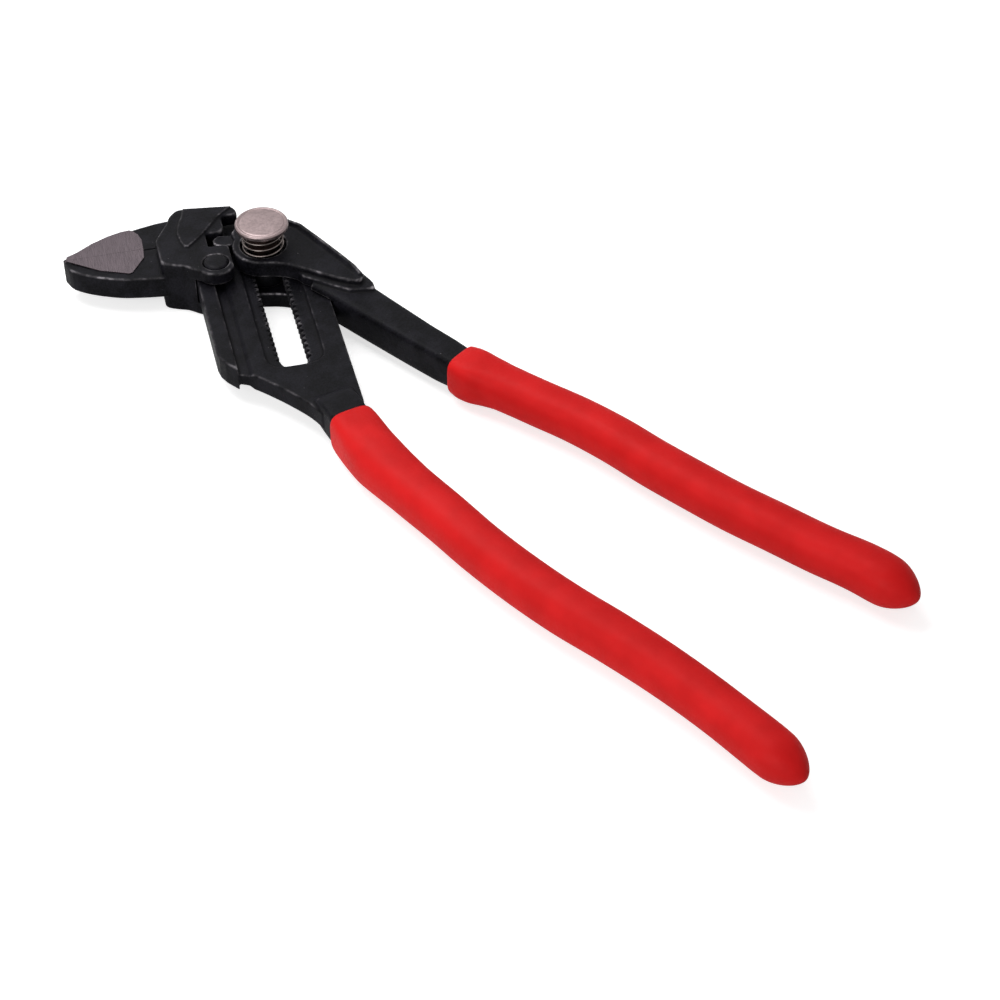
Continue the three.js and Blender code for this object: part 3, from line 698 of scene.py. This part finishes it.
@dataclass
class Forging:
    """A CAD node's shape with the soft edges and slight unevenness of a forging."""

    node: str
    body: Body
    voxel: float = 0.20 * MM
    quick_coarser: float = 2.0
    rounds: int = 5
    wide_rounds: int = 12
    # How strongly the edges are painted as rubbed and highlighted
    wear_and_glint: float = 1.0
    rub_and_glint_from: float = 0.24
    rub_and_glint_over: float = 0.19
    # Where painted shade starts in a corner, and over how much deeper it grows
    crevice_shade_from: float = 0.08
    crevice_shade_over: float = 0.24
    hidden_from: tuple[Vector, Vector] | None = None
    slot: Slot = Slot.FORGED

    def build(self, finish: Material, lower: Press | None = None) -> None:
        """Make the softened piece and let it stand for its node.

        Args:
            finish: The material of its skin.
            lower: Takes the points and gives them back with the ground plateaus pressed in.
        """
        shell, hidden = self.split()
        if lower is not None:
            move_points(shell, lower(read_points(shell)))
        piece = add_object(f"{self.node}_forging", shell)
        self.remesh(piece)
        self.soften(piece.data)
        if hidden is not None:
            self.join_hidden(piece.data, hidden)
        piece.data.shade_smooth()
        dress(piece, finish, self.body, self.node)

    def split(self) -> tuple[Mesh, Mesh | None]:
        """Copy the node's mesh, and part the tang deep inside the grip from the shown stretch.

        Returns:
            The shown stretch, and the hidden one where there is one.
        """
        if self.hidden_from is None:
            return mesh_of(cad_solid(self.node), self.node), None
        point, direction = self.hidden_from
        halves = []
        for keep_shown in (True, False):
            work = cad_solid(self.node)
            bmesh.ops.bisect_plane(
                work, geom=[*work.verts, *work.edges, *work.faces], plane_co=point,
                plane_no=direction, clear_outer=keep_shown, clear_inner=not keep_shown,
            )
            bmesh.ops.holes_fill(work, edges=[edge for edge in work.edges if edge.is_boundary])
            bmesh.ops.recalc_face_normals(work, faces=work.faces)
            halves.append(mesh_of(work, self.node))
        return halves[0], halves[1]

    def remesh(self, piece: Piece) -> None:
        """Give a piece an even skin of small squares.

        Args:
            piece: The piece.
        """
        skin = piece.modifiers.new("skin", "REMESH")
        skin.mode = "VOXEL"
        skin.voxel_size = self.voxel * 1.0
        evaluated = piece.evaluated_get(bpy.context.evaluated_depsgraph_get())
        mesh = bpy.data.meshes.new_from_object(evaluated)
        piece.modifiers.clear()
        piece.data = mesh

    def soften(self, mesh: Mesh) -> None:
        """Round the edges, and keep on each point how far it stands out, for rubbed edges with a
        painted highlight, or lies in a corner, for painted shade.

        Args:
            mesh: The even skin.
        """
        edges = np.zeros(len(mesh.edges) * 2, np.int32)
        mesh.edges.foreach_get("vertices", edges)
        edges = edges.reshape(-1, 2)
        points = relax(read_points(mesh), edges, self.rounds)
        move_points(mesh, points)
        mesh.update()
        normals = read_points(mesh, "normal")
        sunk = relax(points, edges, self.wide_rounds)
        proud = ((points - sunk) * normals).sum(axis=1) / self.voxel
        shares = {
            # Rubbed edges where a point stands out: wear and a painted highlight
            "rub_and_glint": self.wear_and_glint * np.clip((proud - self.rub_and_glint_from) / self.rub_and_glint_over, 0.0, 1.0),
            # Painted shade where a point lies in a corner
            "crevice_shade": np.clip((-proud - self.crevice_shade_from) / self.crevice_shade_over, 0.0, 1.0),
        }
        for name, values in shares.items():
            evened = relax(np.repeat(values[:, None], 3, axis=1), edges, 1)
            keep_on_points(mesh, name, evened[:, 0])

    def join_hidden(self, mesh: Mesh, hidden: Mesh) -> None:
        """Add the stretch inside the grip to the shown one.

        Args:
            mesh: The shown stretch.
            hidden: The stretch inside the grip.
        """
        work = bmesh.new()
        work.from_mesh(mesh)
        work.from_mesh(hidden)
        work.to_mesh(mesh)
        work.free()


@dataclass
class GroundFaces:
    """The ground plateaus of one jaw, as thin crisp slabs let into the softened forging."""

    node: str
    body: Body
    face_height: float = 3.3 * MM
    bed: float = 0.5 * MM
    right_of_tip: float = 23.0 * MM
    edge: float = 0.05 * MM
    level: float = 0.005 * MM
    flat_degrees: float = 1.0
    sink: float = 0.35 * MM
    seam_way: int = 1
    seam_from_pivot: float = 10.9 * MM
    seam_gap: float = 0.03 * MM
    seam_margin: float = 1.2 * MM

    def heights(self) -> dict[Side, float]:
        """Return the height of the plateau on each face of the tool."""
        return {side: MIDDLE_Z + side.value * self.face_height for side in Side}

    def near(self, points: Rows, height: float) -> Rows:
        """Tell which points lie on one plateau."""
        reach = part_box(self.node)[0].x + self.right_of_tip
        return (np.abs(points[:, 2] - height) < self.level) & (points[:, 0] < reach)

    def press_in(self, points: Rows) -> Rows:
        """Sink the plateaus, so that the slabs stand on them.

        Args:
            points: The forging's points.

        Returns:
            The points with the plateaus sunk.
        """
        points = points.copy()
        for side, height in self.heights().items():
            points[self.near(points, height), 2] -= side.value * self.sink
        return points

    def build(self, finish: Material) -> None:
        """Make the slab of each plateau."""
        for side, height in self.heights().items():
            self.slab(side, height, finish)

    def slab(self, side: Side, height: float, finish: Material) -> None:
        """Cut one plateau's outline from the CAD node, and thicken it down into the forging.

        Args:
            side: The face of the tool that it is on.
            height: Its height.
            finish: The ground steel.
        """
        work = cad_solid(self.node)
        points = np.array([vert.co for vert in work.verts], float)
        level = set(np.flatnonzero(self.near(points, height)).tolist())
        others = [
            face for face in work.faces if not all(vert.index in level for vert in face.verts)
        ]
        bmesh.ops.delete(work, geom=others, context="FACES")
        bmesh.ops.dissolve_limit(
            work, angle_limit=math.radians(self.flat_degrees), verts=work.verts, edges=work.edges,
        )
        seam = PIVOT.y + self.seam_from_pivot - self.seam_way * self.seam_gap
        for vert in work.verts:
            if abs(seam - vert.co.y) < self.seam_margin:
                vert.co.y = seam
        made = bmesh.ops.extrude_face_region(work, geom=list(work.faces))["geom"]
        sunk = [item for item in made if isinstance(item, bmesh.types.BMVert)]
        bmesh.ops.translate(work, verts=sunk, vec=(0, 0, -side.value * self.bed))
        rim = [
            edge for edge in work.edges
            if all(abs(vert.co.z - height) < self.level for vert in edge.verts)
            and not all(abs(vert.co.y - seam) < self.level for vert in edge.verts)
        ]
        bmesh.ops.bevel(work, geom=rim, offset=self.edge, segments=2, affect="EDGES")
        bmesh.ops.recalc_face_normals(work, faces=work.faces)
        name = f"{self.node}_ground_{side.name.lower()}"
        dress(add_object(name, mesh_of(work, name)), finish, self.body)


# Handles

def gaps(points: Rows) -> Rows:
    """Return the distance from each point to the next."""
    return np.linalg.norm(np.diff(points, axis=0), axis=1)


def read_rows(wanted: Rows, along: Rows, rows: Rows) -> Rows:
    """Read rows that are known at distances along a line, at wanted distances."""
    return np.stack([np.interp(wanted, along, column) for column in rows.T], axis=1)


@dataclass
class Handle:
    """One handle's middle line, from the mouth of its grip to its end.

    The mouth is measured from the pivot, and the shares are of the run across and down.
    """

    mouth: tuple[float, float]
    run: tuple[float, float]
    shares: Points
    steps: int = 40

    def line(self) -> Rows:
        """Draw a curve through the corners that the shares give.

        Returns:
            A close row of points along the curve.
        """
        corners = np.array([
            (PIVOT.x + self.mouth[0] + x * self.run[0], PIVOT.y + self.mouth[1] - y * self.run[1])
            for x, y in self.shares
        ])
        corners = np.vstack([2 * corners[0] - corners[1], corners, 2 * corners[-1] - corners[-2]])
        made = [self.stretch(corners[i - 1:i + 3]) for i in range(1, len(corners) - 2)]
        return np.vstack([*made, corners[-2:-1]])

    def stretch(self, four: Rows) -> Rows:
        """Draw a centripetal curve between the middle two of four corners.

        Args:
            four: The corners as rows.

        Returns:
            The curve's points, without the last.
        """
        knots = np.concatenate([[0], np.cumsum(np.sqrt(gaps(four)))])
        t = np.linspace(knots[1], knots[2], self.steps, endpoint=False)[:, None]
        rows = list(four)
        for wide in (1, 2):
            rows = [
                self.between(t, knots[i], knots[i + wide], rows[i], rows[i + 1])
                for i in range(len(rows) - 1)
            ]
        return self.between(t, knots[1], knots[2], *rows)

    @staticmethod
    def between(t: Rows, low: float, high: float, first: Rows, second: Rows) -> Rows:
        """Return the points on the way from the first, at low, to the second, at high."""
        return (first * (high - t) + second * (t - low)) / (high - low)

    def at(self, shares: Rows) -> tuple[Rows, Rows]:
        """Find places on the line, and on its straight run past its end.

        Args:
            shares: Shares of the line's length.

        Returns:
            The places and the directions there.
        """
        line = self.line()
        along = np.concatenate([[0], np.cumsum(gaps(line))])
        wanted = shares * along[-1]
        headings = read_rows(wanted, along, np.gradient(line, along, axis=0))
        headings /= np.linalg.norm(headings, axis=1)[:, None]
        past = np.maximum(wanted - along[-1], 0.0)
        return read_rows(wanted, along, line) + headings * past[:, None], headings

    def length(self) -> float:
        """Return the line's length."""
        return float(gaps(self.line()).sum())

    def deep_plane(self, depth: float) -> tuple[Vector, Vector]:
        """Return the place a depth past the grip's mouth, and the line's direction there."""
        places, headings = self.at(np.array([depth / self.length()]))
        return Vector((*places[0], MIDDLE_Z)), Vector((*headings[0], 0.0))


FIXED_HANDLE = Handle(
    mouth=(8.6 * MM, -66.4 * MM),
    run=(66.7 * MM, 128.8 * MM),
    shares=(
        (0, 0), (0.016, 0.033), (0.052, 0.098), (0.13, 0.192), (0.215, 0.283), (0.298, 0.376),
        (0.39, 0.465), (0.493, 0.552), (0.606, 0.635), (0.714, 0.72), (0.813, 0.808),
        (0.904, 0.899), (1, 1),
    ),
)
CROSS_HANDLE = Handle(
    mouth=(38.8 * MM, -52.1 * MM),
    run=(77.4 * MM, 100.5 * MM),
    shares=(
        (0, 0), (0.029, 0.031), (0.097, 0.085), (0.194, 0.171), (0.291, 0.257), (0.378, 0.349),
        (0.457, 0.446), (0.54, 0.539), (0.626, 0.632), (0.719, 0.721), (0.811, 0.81),
        (0.908, 0.895), (1, 1),
    ),
)

# A grip's width at shares of its length, as a share of its usual width
SWELL_SHARES = (
    0, 0.008, 0.022, 0.045, 0.07, 0.1, 0.14, 0.18, 0.23, 0.3,
    0.38, 0.46, 0.54, 0.62, 0.7, 0.78, 0.85, 0.9, 0.93, 1,
)
FIXED_SWELL = tuple(zip(SWELL_SHARES, (
    0.985, 1.012, 1.038, 1.072, 1.102, 1.14, 1.086, 1.04, 1.025, 1.01,
    0.998, 0.995, 0.989, 0.974, 0.958, 0.94, 0.93, 0.94, 0.945, 0.92,
)))
CROSS_SWELL = tuple(zip(SWELL_SHARES, (
    0.96, 0.985, 1.045, 1.073, 1.032, 1.003, 0.988, 0.985, 0.986, 0.995,
    1.005, 1.006, 1.005, 1.002, 0.998, 0.995, 0.998, 1.025, 1.037, 1.0,
)))
# The power of a grip's section by the share of its length
SECTION_POWER = (
    (0, 4), (0.022, 4), (0.045, 3.4), (0.07, 2.9), (0.1, 2.5), (0.93, 2.5), (0.965, 2.3), (1, 2),
)


def eased(table: Points, shares: Rows, blur: int = 13, fineness: int = 800) -> Rows:
    """Read a table of shares and values smoothly.

    Args:
        table: Rows of a share and a value.
        shares: Where to read it.
        blur: How many fine steps each reading is spread over.
        fineness: How many fine steps there are from 0 to 1.

    Returns:
        The values.
    """
    rows = np.array(table, float)
    fine = np.linspace(0, 1, fineness)
    values = np.interp(fine, rows[:, 0], rows[:, 1])
    kernel = np.hanning(blur + 2)[1:-1]
    padded = np.pad(values, blur // 2, mode="edge")
    return np.interp(shares, fine, np.convolve(padded, kernel / kernel.sum(), mode="valid"))


@dataclass
class DippedGrip:
    """A dipped grip: a rounded lip at its mouth, a slight swell along the hand and a blunt end.

    The bore's and the lip's rows give a ring's share of the length and its share of the size.
    """

    node: str
    body: Body
    handle: Handle
    width: float
    tang_width: float
    swell_shares: Points
    reach: float
    tang_thickness: float = 9.1 * MM
    tang_power: float = 5.0
    gap: float = 0.3 * MM
    sides: int = 72
    stations: int = 150
    stations_from: float = 0.012
    cap_length: float = 8.5 * MM
    cap_powers: Range = (1.8, 1.7)
    cap_stations: int = 30
    cap_from: float = 0.04
    end_share: float = 0.02
    bore_rows: Points = ((0.03, 0.98), (0.006, 0.99), (0.0012, 1.01))
    lip_rows: Points = (
        (0.0, 0.90), (0.0004, 0.945), (0.0016, 0.975), (0.0042, 0.993), (0.0078, 1.0),
    )

    def section(self, width: float, height: float, power: float) -> Rows:
        """Draw a rounded section.

        Args:
            width: Its width.
            height: Its height.
            power: 2 for an ellipse, and more for a squarer shape.

        Returns:
            Its points as rows of across and up.
        """
        angle = (np.arange(self.sides) + 0.5) * math.tau / self.sides
        ways = ((np.cos(angle), width), (np.sin(angle), height))
        rows = [np.sign(way) * np.abs(way) ** (2 / power) * size / 2 for way, size in ways]
        return np.stack(rows, axis=1)

    def cap_shares(self) -> Range:
        """Find where the blunt end starts and ends.

        Returns:
            Both, as shares of the middle line.
        """
        length = self.handle.length()
        tip = 1 + self.reach / length
        return tip - self.cap_length / length, tip

    def widths(self, shares: Rows) -> Rows:
        """Find the grip's width, which runs down to next to nothing at its end.

        Args:
            shares: Shares of its length.

        Returns:
            The widths.
        """
        start, tip = self.cap_shares()
        past = np.clip((shares - start) / (tip - start), 0, 1)
        cap = (1 - past ** self.cap_powers[0]) ** (1 / self.cap_powers[1])
        return self.width * eased(self.swell_shares, shares) * np.maximum(cap, self.end_share)

    def rings(self) -> Rows:
        """Place every ring square to the handle, from inside the mouth round to the end.

        Returns:
            Points as rings by sides by 3.
        """
        bore = self.section(
            self.tang_width + 2 * self.gap, self.tang_thickness + 2 * self.gap, self.tang_power,
        )
        start, tip = self.cap_shares()
        turn = np.linspace(self.cap_from, 1, self.cap_stations) * math.pi / 2
        cap = start + (tip - start) * np.sin(turn)
        body = np.linspace(self.stations_from, start, self.stations)
        outside = np.concatenate([[share for share, _ in self.lip_rows], body, cap])
        widths = self.widths(outside)
        widths[:len(self.lip_rows)] *= [size for _, size in self.lip_rows]
        powers = eased(SECTION_POWER, outside)
        sections = [bore * size for _, size in self.bore_rows]
        sections += [self.section(width, width, power) for width, power in zip(widths, powers)]
        across, up = np.moveaxis(np.array(sections), 2, 0)
        inside = [share for share, _ in self.bore_rows]
        places, headings = self.handle.at(np.concatenate([inside, outside]))
        x = places[:, :1] + across * headings[:, 1:]
        y = places[:, 1:] - across * headings[:, :1]
        return np.stack([x, y, MIDDLE_Z + up], axis=2)

    def build(self, finish: Material) -> None:
        """Make the grip and let it stand for its node.

        Args:
            finish: The dip coating.
        """
        name = f"{self.node}_dip"
        piece = add_object(name, mesh_from(name, *tube(self.rings())))
        piece.data.shade_smooth()
        dress(piece, finish, self.body, self.node)


# Button, bolt, spring and pins

@dataclass
class ButtonGroup:
    """The push button on its bolt, the spring under the button and the thrust washer.

    The rim's rows give its corners, in from the button's edge and down from its top.
    """

    rim_rows: Points = (
        (0.0, 0.42 * MM), (0.294 * MM, 0.04 * MM), (0.68 * MM, 0.0), (0.85 * MM, 0.16 * MM),
        (1.02 * MM, 0.16 * MM), (1.19 * MM, 0.05 * MM),
    )
    dish: float = 0.05 * MM
    foot_chamfer: float = 0.3 * MM
    seat_share: float = 0.874
    seat_depth: float = 0.5 * MM
    stem_radius: float = 2.7 * MM
    stem_depth: float = 0.6 * MM
    corner: float = 0.08 * MM
    washer_bore: float = 4.9 * MM
    bolt_voxel: float = 0.16 * MM
    wire: float = 0.6 * MM
    curls: float = 3.75
    steps_per_curl: int = 48
    wire_sides: int = 12
    wire_sharp_degrees: float = 60.0
    push_travel: float = 4.9 * MM
    bolt_steel: Metal = Metal(
        "tempered_steel", dark=(0.055, 0.034, 0.029), light=(0.11, 0.07, 0.06),
        black_below=13.2 * MM,
    )
    washer_steel: Metal = Metal("washer_steel", dark=(0.20, 0.19, 0.19), light=(0.30, 0.29, 0.29))
    spring_wire: Metal = Metal(
        "spring_wire", dark=(0.10, 0.085, 0.080), light=(0.20, 0.17, 0.16), roughness=(0.20, 0.30),
    )
    nickel: Metal = SatinNickel()

    def button(self) -> None:
        """Turn the button: a flat top inside a fine rim, a chamfer and an under-side socket."""
        low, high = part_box("push_button")
        radius = (high.x - low.x) / 2
        seat, ceiling = low.z + self.seat_depth, low.z + self.seat_depth + self.stem_depth
        profile = [
            (0, ceiling), (self.stem_radius, ceiling), (self.stem_radius, seat),
            (radius * self.seat_share, seat), (radius * self.seat_share, low.z),
            (radius - self.foot_chamfer, low.z), (radius, low.z + self.foot_chamfer),
            *((radius - inwards, high.z - down) for inwards, down in self.rim_rows),
            (0, high.z - self.dish),
        ]
        piece = lathe("push_button_cap", rounded(profile, self.corner), PIVOT)
        dress(piece, self.nickel.material(), Body.BOLT, "push_button")

    def bolt(self) -> None:
        """Soften the bolt with its flange, toothed block and stem."""
        forging = Forging("joint_bolt", Body.BOLT, self.bolt_voxel, rounds=3, slot=Slot.BOLT)
        forging.build(self.bolt_steel.material())

    def wire_rings(self, low: Vector, high: Vector) -> Rows:
        """Wind the spring's wire, with straight ends.

        Args:
            low: The low corner of the spring's box.
            high: Its high corner.

        Returns:
            Points as rings by sides by 3.
        """
        radius = (high.x - low.x - self.wire) / 2
        bottom, top = low.z + self.wire / 2, high.z - self.wire / 2
        share = np.linspace(0, 1, round(self.curls * self.steps_per_curl) + 1)
        angle = share * self.curls * math.tau
        climb = (top - bottom) / (self.curls * math.tau)
        across, along = np.cos(angle), np.sin(angle)
        radial = np.stack([across, along, np.zeros_like(angle)], axis=1)
        tangent = np.stack([-along * radius, across * radius, np.full_like(angle, climb)], axis=1)
        tangent /= np.linalg.norm(tangent, axis=1)[:, None]
        centre = radial * radius + np.array([PIVOT.x, PIVOT.y, 0.0])
        centre[:, 2] = bottom + share * (top - bottom)
        first = centre[:1] - tangent[:1] * self.wire
        last = centre[-1:] + tangent[-1:] * self.wire
        centre = np.vstack([first, centre, last])[:, None]
        radial, tangent = (np.vstack([rows[:1], rows, rows[-1:]]) for rows in (radial, tangent))
        up = np.cross(tangent, radial)[:, None]
        turn = (np.arange(self.wire_sides) * math.tau / self.wire_sides)[None, :, None]
        return centre + self.wire / 2 * (np.cos(turn) * radial[:, None] + np.sin(turn) * up)

    def spring(self) -> None:
        """Make the spring, which rides on the carriage."""
        low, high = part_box("button_spring")
        name = "button_spring_wire"
        piece = add_object(name, mesh_from(name, *tube(self.wire_rings(low, high))))
        shade(piece, self.wire_sharp_degrees)
        dress(piece, self.spring_wire.material(), Body.CARRIAGE, "button_spring")
        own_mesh(piece)

    def washer(self) -> None:
        """Turn the thrust washer under the bolt's flange."""
        low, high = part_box("thrust_washer")
        bore, outer = self.washer_bore, (high.x - low.x) / 2
        section = [(bore, low.z), (outer, low.z), (outer, high.z), (bore, high.z)]
        piece = lathe("thrust_washer_ring", section, PIVOT)
        dress(piece, self.washer_steel.material(), Body.CARRIAGE, "thrust_washer")


@dataclass
class GuidePin:
    """One guide pin: a domed, chamfered face in its bore and a thin tip that runs in the groove."""

    side: Side
    tip_radius: float = 0.9 * MM
    shoulder: float = 3.75 * MM
    chamfer: float = 0.45 * MM
    dome: float = 0.08 * MM
    crown_share: float = 0.5
    crown_drop: float = 0.016 * MM
    corner: float = 0.12 * MM
    rim_band: float = 0.2 * MM
    # How bright the worn rim is painted: a faint painted highlight
    rim_rub_and_glint: float = 0.06

    def build(self, finish: Material) -> None:
        """Turn the pin, and keep on each point whether it is on the worn rim, which gets a faint
        painted highlight.

        Args:
            finish: The pin's steel.
        """
        node = f"{self.side.name.lower()}_guide_pin"
        low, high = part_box(node)
        up = self.side.value
        inner, outer = (low.z, high.z) if self.side is Side.FRONT else (high.z, low.z)
        radius = (high.x - low.x) / 2
        step = MIDDLE_Z + up * self.shoulder
        rim = radius - self.chamfer
        profile = [
            (0, inner), (self.tip_radius, inner), (self.tip_radius, step), (radius, step),
            (radius, outer - up * self.chamfer), (rim, outer - up * self.dome),
            (radius * self.crown_share, outer - up * self.crown_drop), (0, outer),
        ]
        centre = node_centre(node)
        piece = lathe(f"{node}_steel", rounded(profile, self.corner), centre)
        x, y, z = read_points(piece.data).T
        on_rim = np.abs(np.hypot(x - centre.x, y - centre.y) - rim) < self.rim_band
        on_rim &= np.abs(z - outer) < self.rim_band
        # Paint the faint highlight onto the worn rim
        keep_on_points(piece.data, "rub_and_glint", on_rim * self.rim_rub_and_glint)
        dress(piece, finish, Body.SLIDING_JAW, node)


# Stage

@dataclass(frozen=True)
class Lamp:
    """A soft square lamp, aimed at the middle of the tool's footprint."""

    name: str
    place: Triple
    size: float
    power: float

    def hang(self) -> None:
        """Put the lamp in the scene."""
        data = bpy.data.lights.new(self.name, "AREA")
        data.shape = "SQUARE"
        data.size = self.size
        data.energy = self.power
        lamp = add_object(self.name, data)
        lamp.location = self.place
        lamp.rotation_euler = (-Vector(self.place)).to_track_quat("-Z", "Y").to_euler()


@dataclass
class Studio:
    """A white sweep, soft lamps and the camera."""

    focal: float = 82.8
    sensor: float = 36.0
    near_clip: float = 0.01
    camera_from_pivot: Triple = (-59.95 * MM, -472.63 * MM, 366.1 * MM)
    heading_degrees: float = 14.5
    pitch_degrees: float = 43.0
    floor_half: float = 3.0
    floor_gap: float = 0.02 * MM
    sky: float = 0.21
    lamps: tuple[Lamp, ...] = (
        Lamp("head_box", (-0.10, 0.17, 0.36), 0.30, 1.1),
        Lamp("overhead_box", (0.10, -0.10, 0.90), 0.80, 0.3),
        Lamp("left_sheet", (-0.75, 0.55, 0.65), 0.80, 0.7),
        Lamp("front_sheet", (-0.50, -0.44, 0.32), 0.60, 2.75),
    )

    def floor(self, finish: Material) -> None:
        """Lay the white sweep just under the tool.

        Args:
            finish: The paper.
        """
        half, level = self.floor_half, CAD_BOX[0].z - self.floor_gap
        corners = [(x * half, y * half, level) for x, y in ((-1, -1), (1, -1), (1, 1), (-1, 1))]
        mesh = bpy.data.meshes.new("paper_sweep")
        mesh.from_pydata(corners, [], [(0, 1, 2, 3)])
        mesh.materials.append(finish)
        add_object("paper_sweep", mesh)

    def room(self) -> None:
        """Light the stage a little from all round, in a room that looks and mirrors white."""
        world = bpy.data.worlds.new("pale_room")
        bpy.context.scene.world = world
        world.use_nodes = True
        tree = world.node_tree
        path = tree.nodes.new("ShaderNodeLightPath")
        lift = tree.nodes.new("ShaderNodeMapRange")
        lift.inputs["To Min"].default_value = self.sky
        lift.inputs["To Max"].default_value = 1.0
        seen = tree.nodes.new("ShaderNodeMath")
        seen.operation = "MAXIMUM"
        for number, ray in enumerate(("Is Camera Ray", "Is Glossy Ray")):
            tree.links.new(path.outputs[ray], seen.inputs[number])
        tree.links.new(seen.outputs["Value"], lift.inputs["Value"])
        tree.links.new(lift.outputs["Result"], tree.nodes["Background"].inputs["Strength"])
        tree.nodes["Background"].inputs["Color"].default_value = (1.0, 1.0, 1.0, 1.0)

    def camera(self) -> None:
        """Set the camera at the photograph's angle."""
        data = bpy.data.cameras.new("camera")
        data.lens = self.focal
        data.sensor_width = self.sensor
        data.clip_start = self.near_clip
        camera = add_object("camera", data)
        camera.location = Vector((PIVOT.x, PIVOT.y, 0.0)) + Vector(self.camera_from_pivot)
        heading, pitch = math.radians(self.heading_degrees), math.radians(self.pitch_degrees)
        level = math.cos(pitch)
        forward = Vector((math.sin(heading) * level, math.cos(heading) * level, -math.sin(pitch)))
        camera.rotation_euler = forward.to_track_quat("-Z", "Y").to_euler()
        bpy.context.scene.camera = camera

    def build(self) -> None:
        """Set up the whole stage."""
        self.camera()
        self.floor(PaperSweep().material())
        for lamp in self.lamps:
            lamp.hang()
        self.room()
        bpy.context.scene.view_settings.view_transform = "Standard"


@dataclass
class PliersWrench:
    """The whole tool: its finishes, and its pieces in the order in which they are put together."""

    tang_depth: float = 9.0 * MM

    def build(self) -> None:
        """Build and dress every piece."""
        oxide = BlackOxide().material()
        ground = GroundSteel().material()
        dip = DippedPlastic().material()
        pin_steel = BlackOxide(name="pin_steel", rub_and_glint_share=0.9, pit_depth=0.01 * MM).material()
        fixed_ground = GroundFaces("fixed_jaw_lever", Body.FIXED_LEVER, seam_way=-1)
        Forging(
            "fixed_jaw_lever", Body.FIXED_LEVER, wear_and_glint=0.55,
            hidden_from=FIXED_HANDLE.deep_plane(self.tang_depth),
        ).build(oxide, fixed_ground.press_in)
        fixed_ground.build(ground)
        sliding_ground = GroundFaces("sliding_jaw", Body.SLIDING_JAW)
        Forging("sliding_jaw", Body.SLIDING_JAW).build(oxide, sliding_ground.press_in)
        sliding_ground.build(ground)
        for side in Side:
            GuidePin(side).build(pin_steel)
        # The crossing lever's edges get the strongest rub and painted highlight
        Forging(
            "crossing_lever", Body.CROSSING_LEVER, wear_and_glint=1.5,
            hidden_from=CROSS_HANDLE.deep_plane(self.tang_depth),
        ).build(oxide)
        DippedGrip(
            "fixed_lever_grip", Body.FIXED_LEVER, FIXED_HANDLE, width=11.3 * MM,
            tang_width=9.8 * MM, swell_shares=FIXED_SWELL, reach=0.75 * MM,
        ).build(dip)
        DippedGrip(
            "crossing_lever_grip", Body.CROSSING_LEVER, CROSS_HANDLE, width=10.8 * MM,
            tang_width=8.0 * MM, swell_shares=CROSS_SWELL, reach=1.6 * MM,
        ).build(dip)
        buttons = ButtonGroup()
        buttons.bolt()
        buttons.washer()
        buttons.spring()
        buttons.button()


def main() -> None:
    """Build the stage and the tool, and report each piece."""
    logging.basicConfig(level=logging.INFO, format="%(name)s: %(message)s")
    Studio().build()
    PliersWrench().build()


if __name__ == "__main__":
    main()
